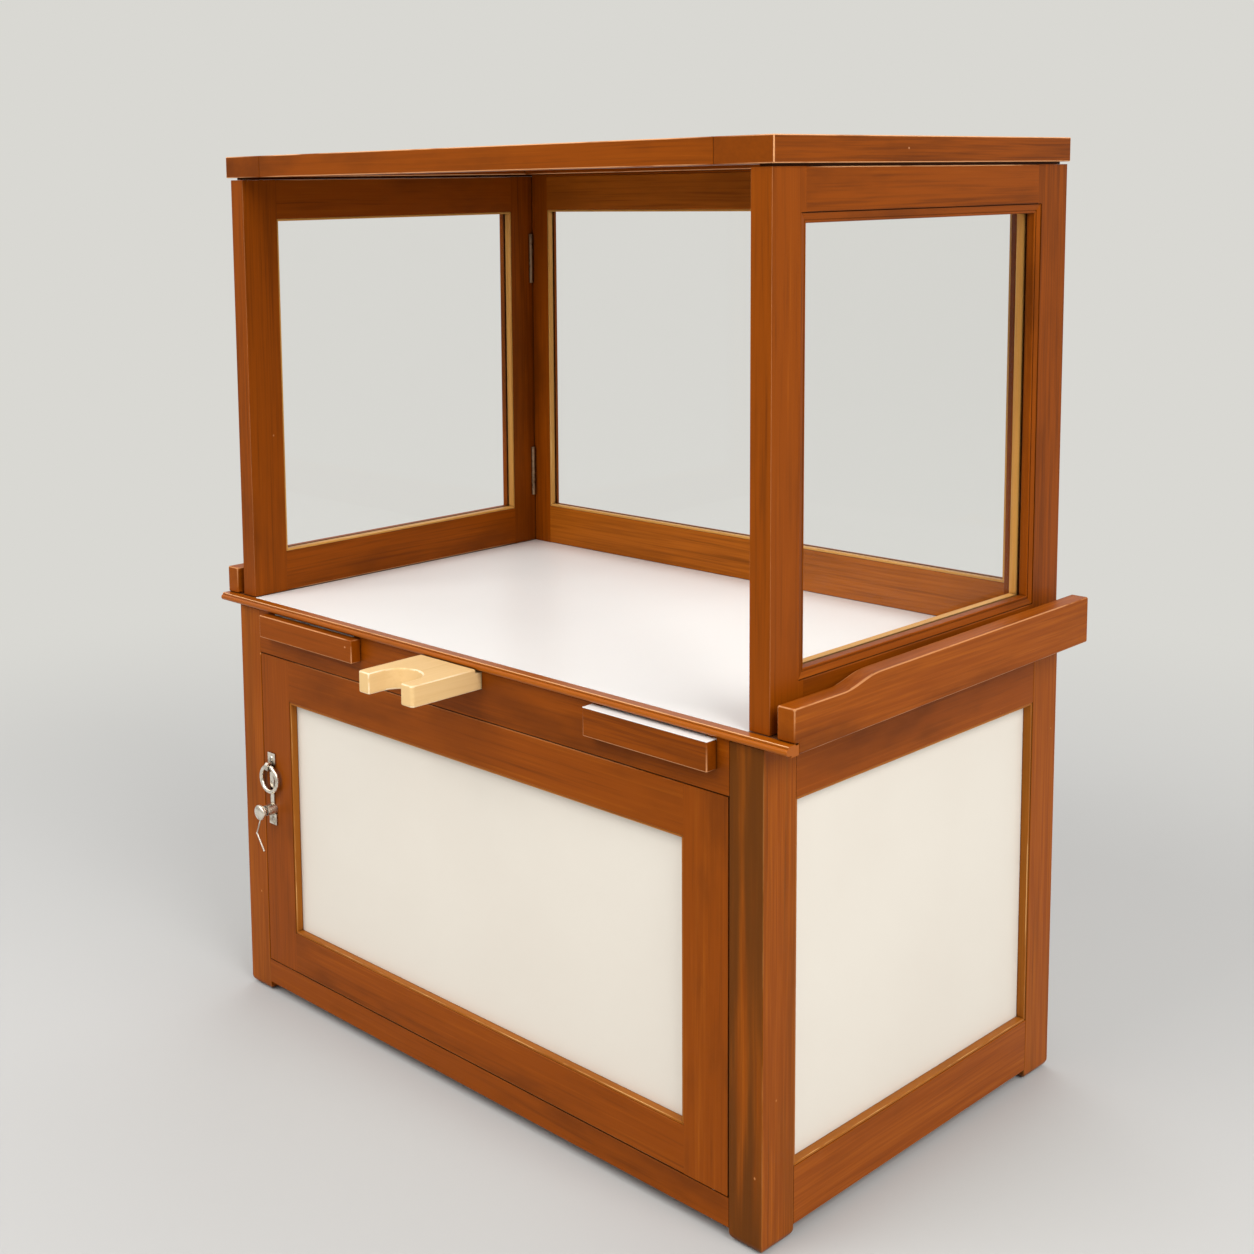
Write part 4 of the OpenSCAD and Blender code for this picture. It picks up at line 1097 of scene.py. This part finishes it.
@dataclass
class Studio:
    """Floor, backdrop colour, soft lamps and the camera."""

    LAMPS = (Lamp("key", (-0.8, -3.3, 3.7), 116.0),
             Lamp("fill", (3.7, -0.8, 3.3), 138.0),
             Lamp("top", (-1.0, 1.6, 4.0), 40.0, (0.0, 0.0, 1.0), 2.4, (1.0, 0.99, 0.97)))

    focal_px: float = 1750.7
    image_px: float = 1254.0
    sensor_mm: float = 36.0
    far_clip: float = 60.0
    floor_reach: float = 14.0
    centre_px: tuple[float, float] = (456.4, 404.5)
    azimuth: float = 47.769
    elevation: float = 7.051
    roll: float = -1.006
    eye: tuple[float, float, float] = (1.50453, -1.60422, 1.11066)
    pale: Colour = (0.694, 0.687, 0.651)
    floor_pale: Colour = (0.505, 0.51, 0.51)
    fade_from: float = 0.9
    fade_to: float = 2.6
    sky: Colour = (1.0, 0.985, 0.96)
    sky_strength: float = 0.66
    horizon_z: float = -0.1
    zenith_z: float = 0.8
    horizon_gloss: float = 0.30
    zenith_gloss: float = 1.4

    def camera(self) -> None:
        """Place the camera as the photograph's."""
        az, el = math.radians(self.azimuth), math.radians(self.elevation)
        back = Vector((math.sin(az) * math.cos(el), -math.cos(az) * math.cos(el), math.sin(el)))
        right = (-back).cross(Vector((0, 0, 1))).normalized()
        up = right.cross(-back)
        c, s = math.cos(math.radians(self.roll)), math.sin(math.radians(self.roll))
        right, up = c * right + s * up, c * up - s * right
        data = bpy.data.cameras.new("photo_camera")
        data.sensor_width = self.sensor_mm
        data.sensor_fit = "HORIZONTAL"
        data.lens = self.focal_px / self.image_px * self.sensor_mm
        data.shift_x = (self.image_px / 2 - self.centre_px[0]) / self.image_px
        data.shift_y = (self.centre_px[1] - self.image_px / 2) / self.image_px
        data.clip_end = self.far_clip
        camera = bpy.data.objects.new("photo_camera", data)
        turn = Matrix((right, up, back)).transposed().to_4x4()
        camera.matrix_world = Matrix.Translation(Vector(self.eye)) @ turn
        bpy.context.scene.collection.objects.link(camera)
        bpy.context.scene.camera = camera

    def floor(self) -> None:
        """Lay a wide plain floor that keeps the object's shadow."""
        bm = bmesh.new()
        bmesh.ops.create_grid(bm, x_segments=1, y_segments=1, size=self.floor_reach)
        mesh = bpy.data.meshes.new("studio_floor")
        bm.to_mesh(mesh)
        bm.free()
        floor = bpy.data.objects.new("studio_floor", mesh)
        bpy.context.scene.collection.objects.link(floor)
        t = NodeTree(bpy.data.materials.new("studio_floor"))
        # Far from the object the floor takes on the backdrop's colour, so no horizon shows
        away = t.work("VectorMath", "LENGTH", t.add("NewGeometry").outputs["Position"])
        fade = t.ramp(away.outputs["Value"], self.fade_from, self.fade_to)
        matt = t.add("BsdfDiffuse", Color=self.floor_pale)
        backdrop = t.add("Emission", Color=self.pale)
        mesh.materials.append(t.finish(t.blend(t.math("MULTIPLY", fade, t.seen()), matt,
                                               backdrop)))

    def world(self) -> None:
        """Set soft light all round, and a pale backdrop where it is seen."""
        t = NodeTree(bpy.data.worlds.new("studio"), "OutputWorld")
        light = t.add("Background", Color=self.sky, Strength=self.sky_strength)
        # Mirrors see a bright ceiling and a darker horizon
        height = t.add("SeparateXYZ", Vector=t.add("TexCoord").outputs["Generated"])
        rise = t.add("MapRange", Value=height.outputs["Z"], From_Min=self.horizon_z,
                     From_Max=self.zenith_z, To_Min=self.horizon_gloss, To_Max=self.zenith_gloss)
        ceiling = t.add("Background", Color=self.sky, Strength=rise.outputs["Result"])
        glossy = t.add("LightPath").outputs["Is Glossy Ray"]
        backdrop = t.add("Background", Color=self.pale, Strength=1.0)
        around = t.blend(glossy, light, ceiling)
        bpy.context.scene.world = t.finish(t.blend(t.seen(), around, backdrop))

    def build(self) -> None:
        """Set the stage, the lamps and the camera."""
        scene = bpy.context.scene
        scene.view_settings.view_transform = "Standard"
        self.camera()
        self.floor()
        self.world()
        for lamp in self.LAMPS:
            lamp.hang()


def main() -> None:
    """Build and dress the whole cabinet."""
    logging.basicConfig(level=logging.INFO, format="%(name)s: %(message)s")
    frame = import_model()
    Studio().build()
    finishes = Finishes.make_all()
    maker = BoardMaker(frame)
    for part in (LowerCabinet(maker, finishes), Worktop(maker, finishes),
                 PullOuts(maker, finishes), Door(maker, finishes), GlazedCase(maker, finishes)):
        part.build()
        LOG.info("%s built", type(part).__name__)


if __name__ == "__main__":
    main()
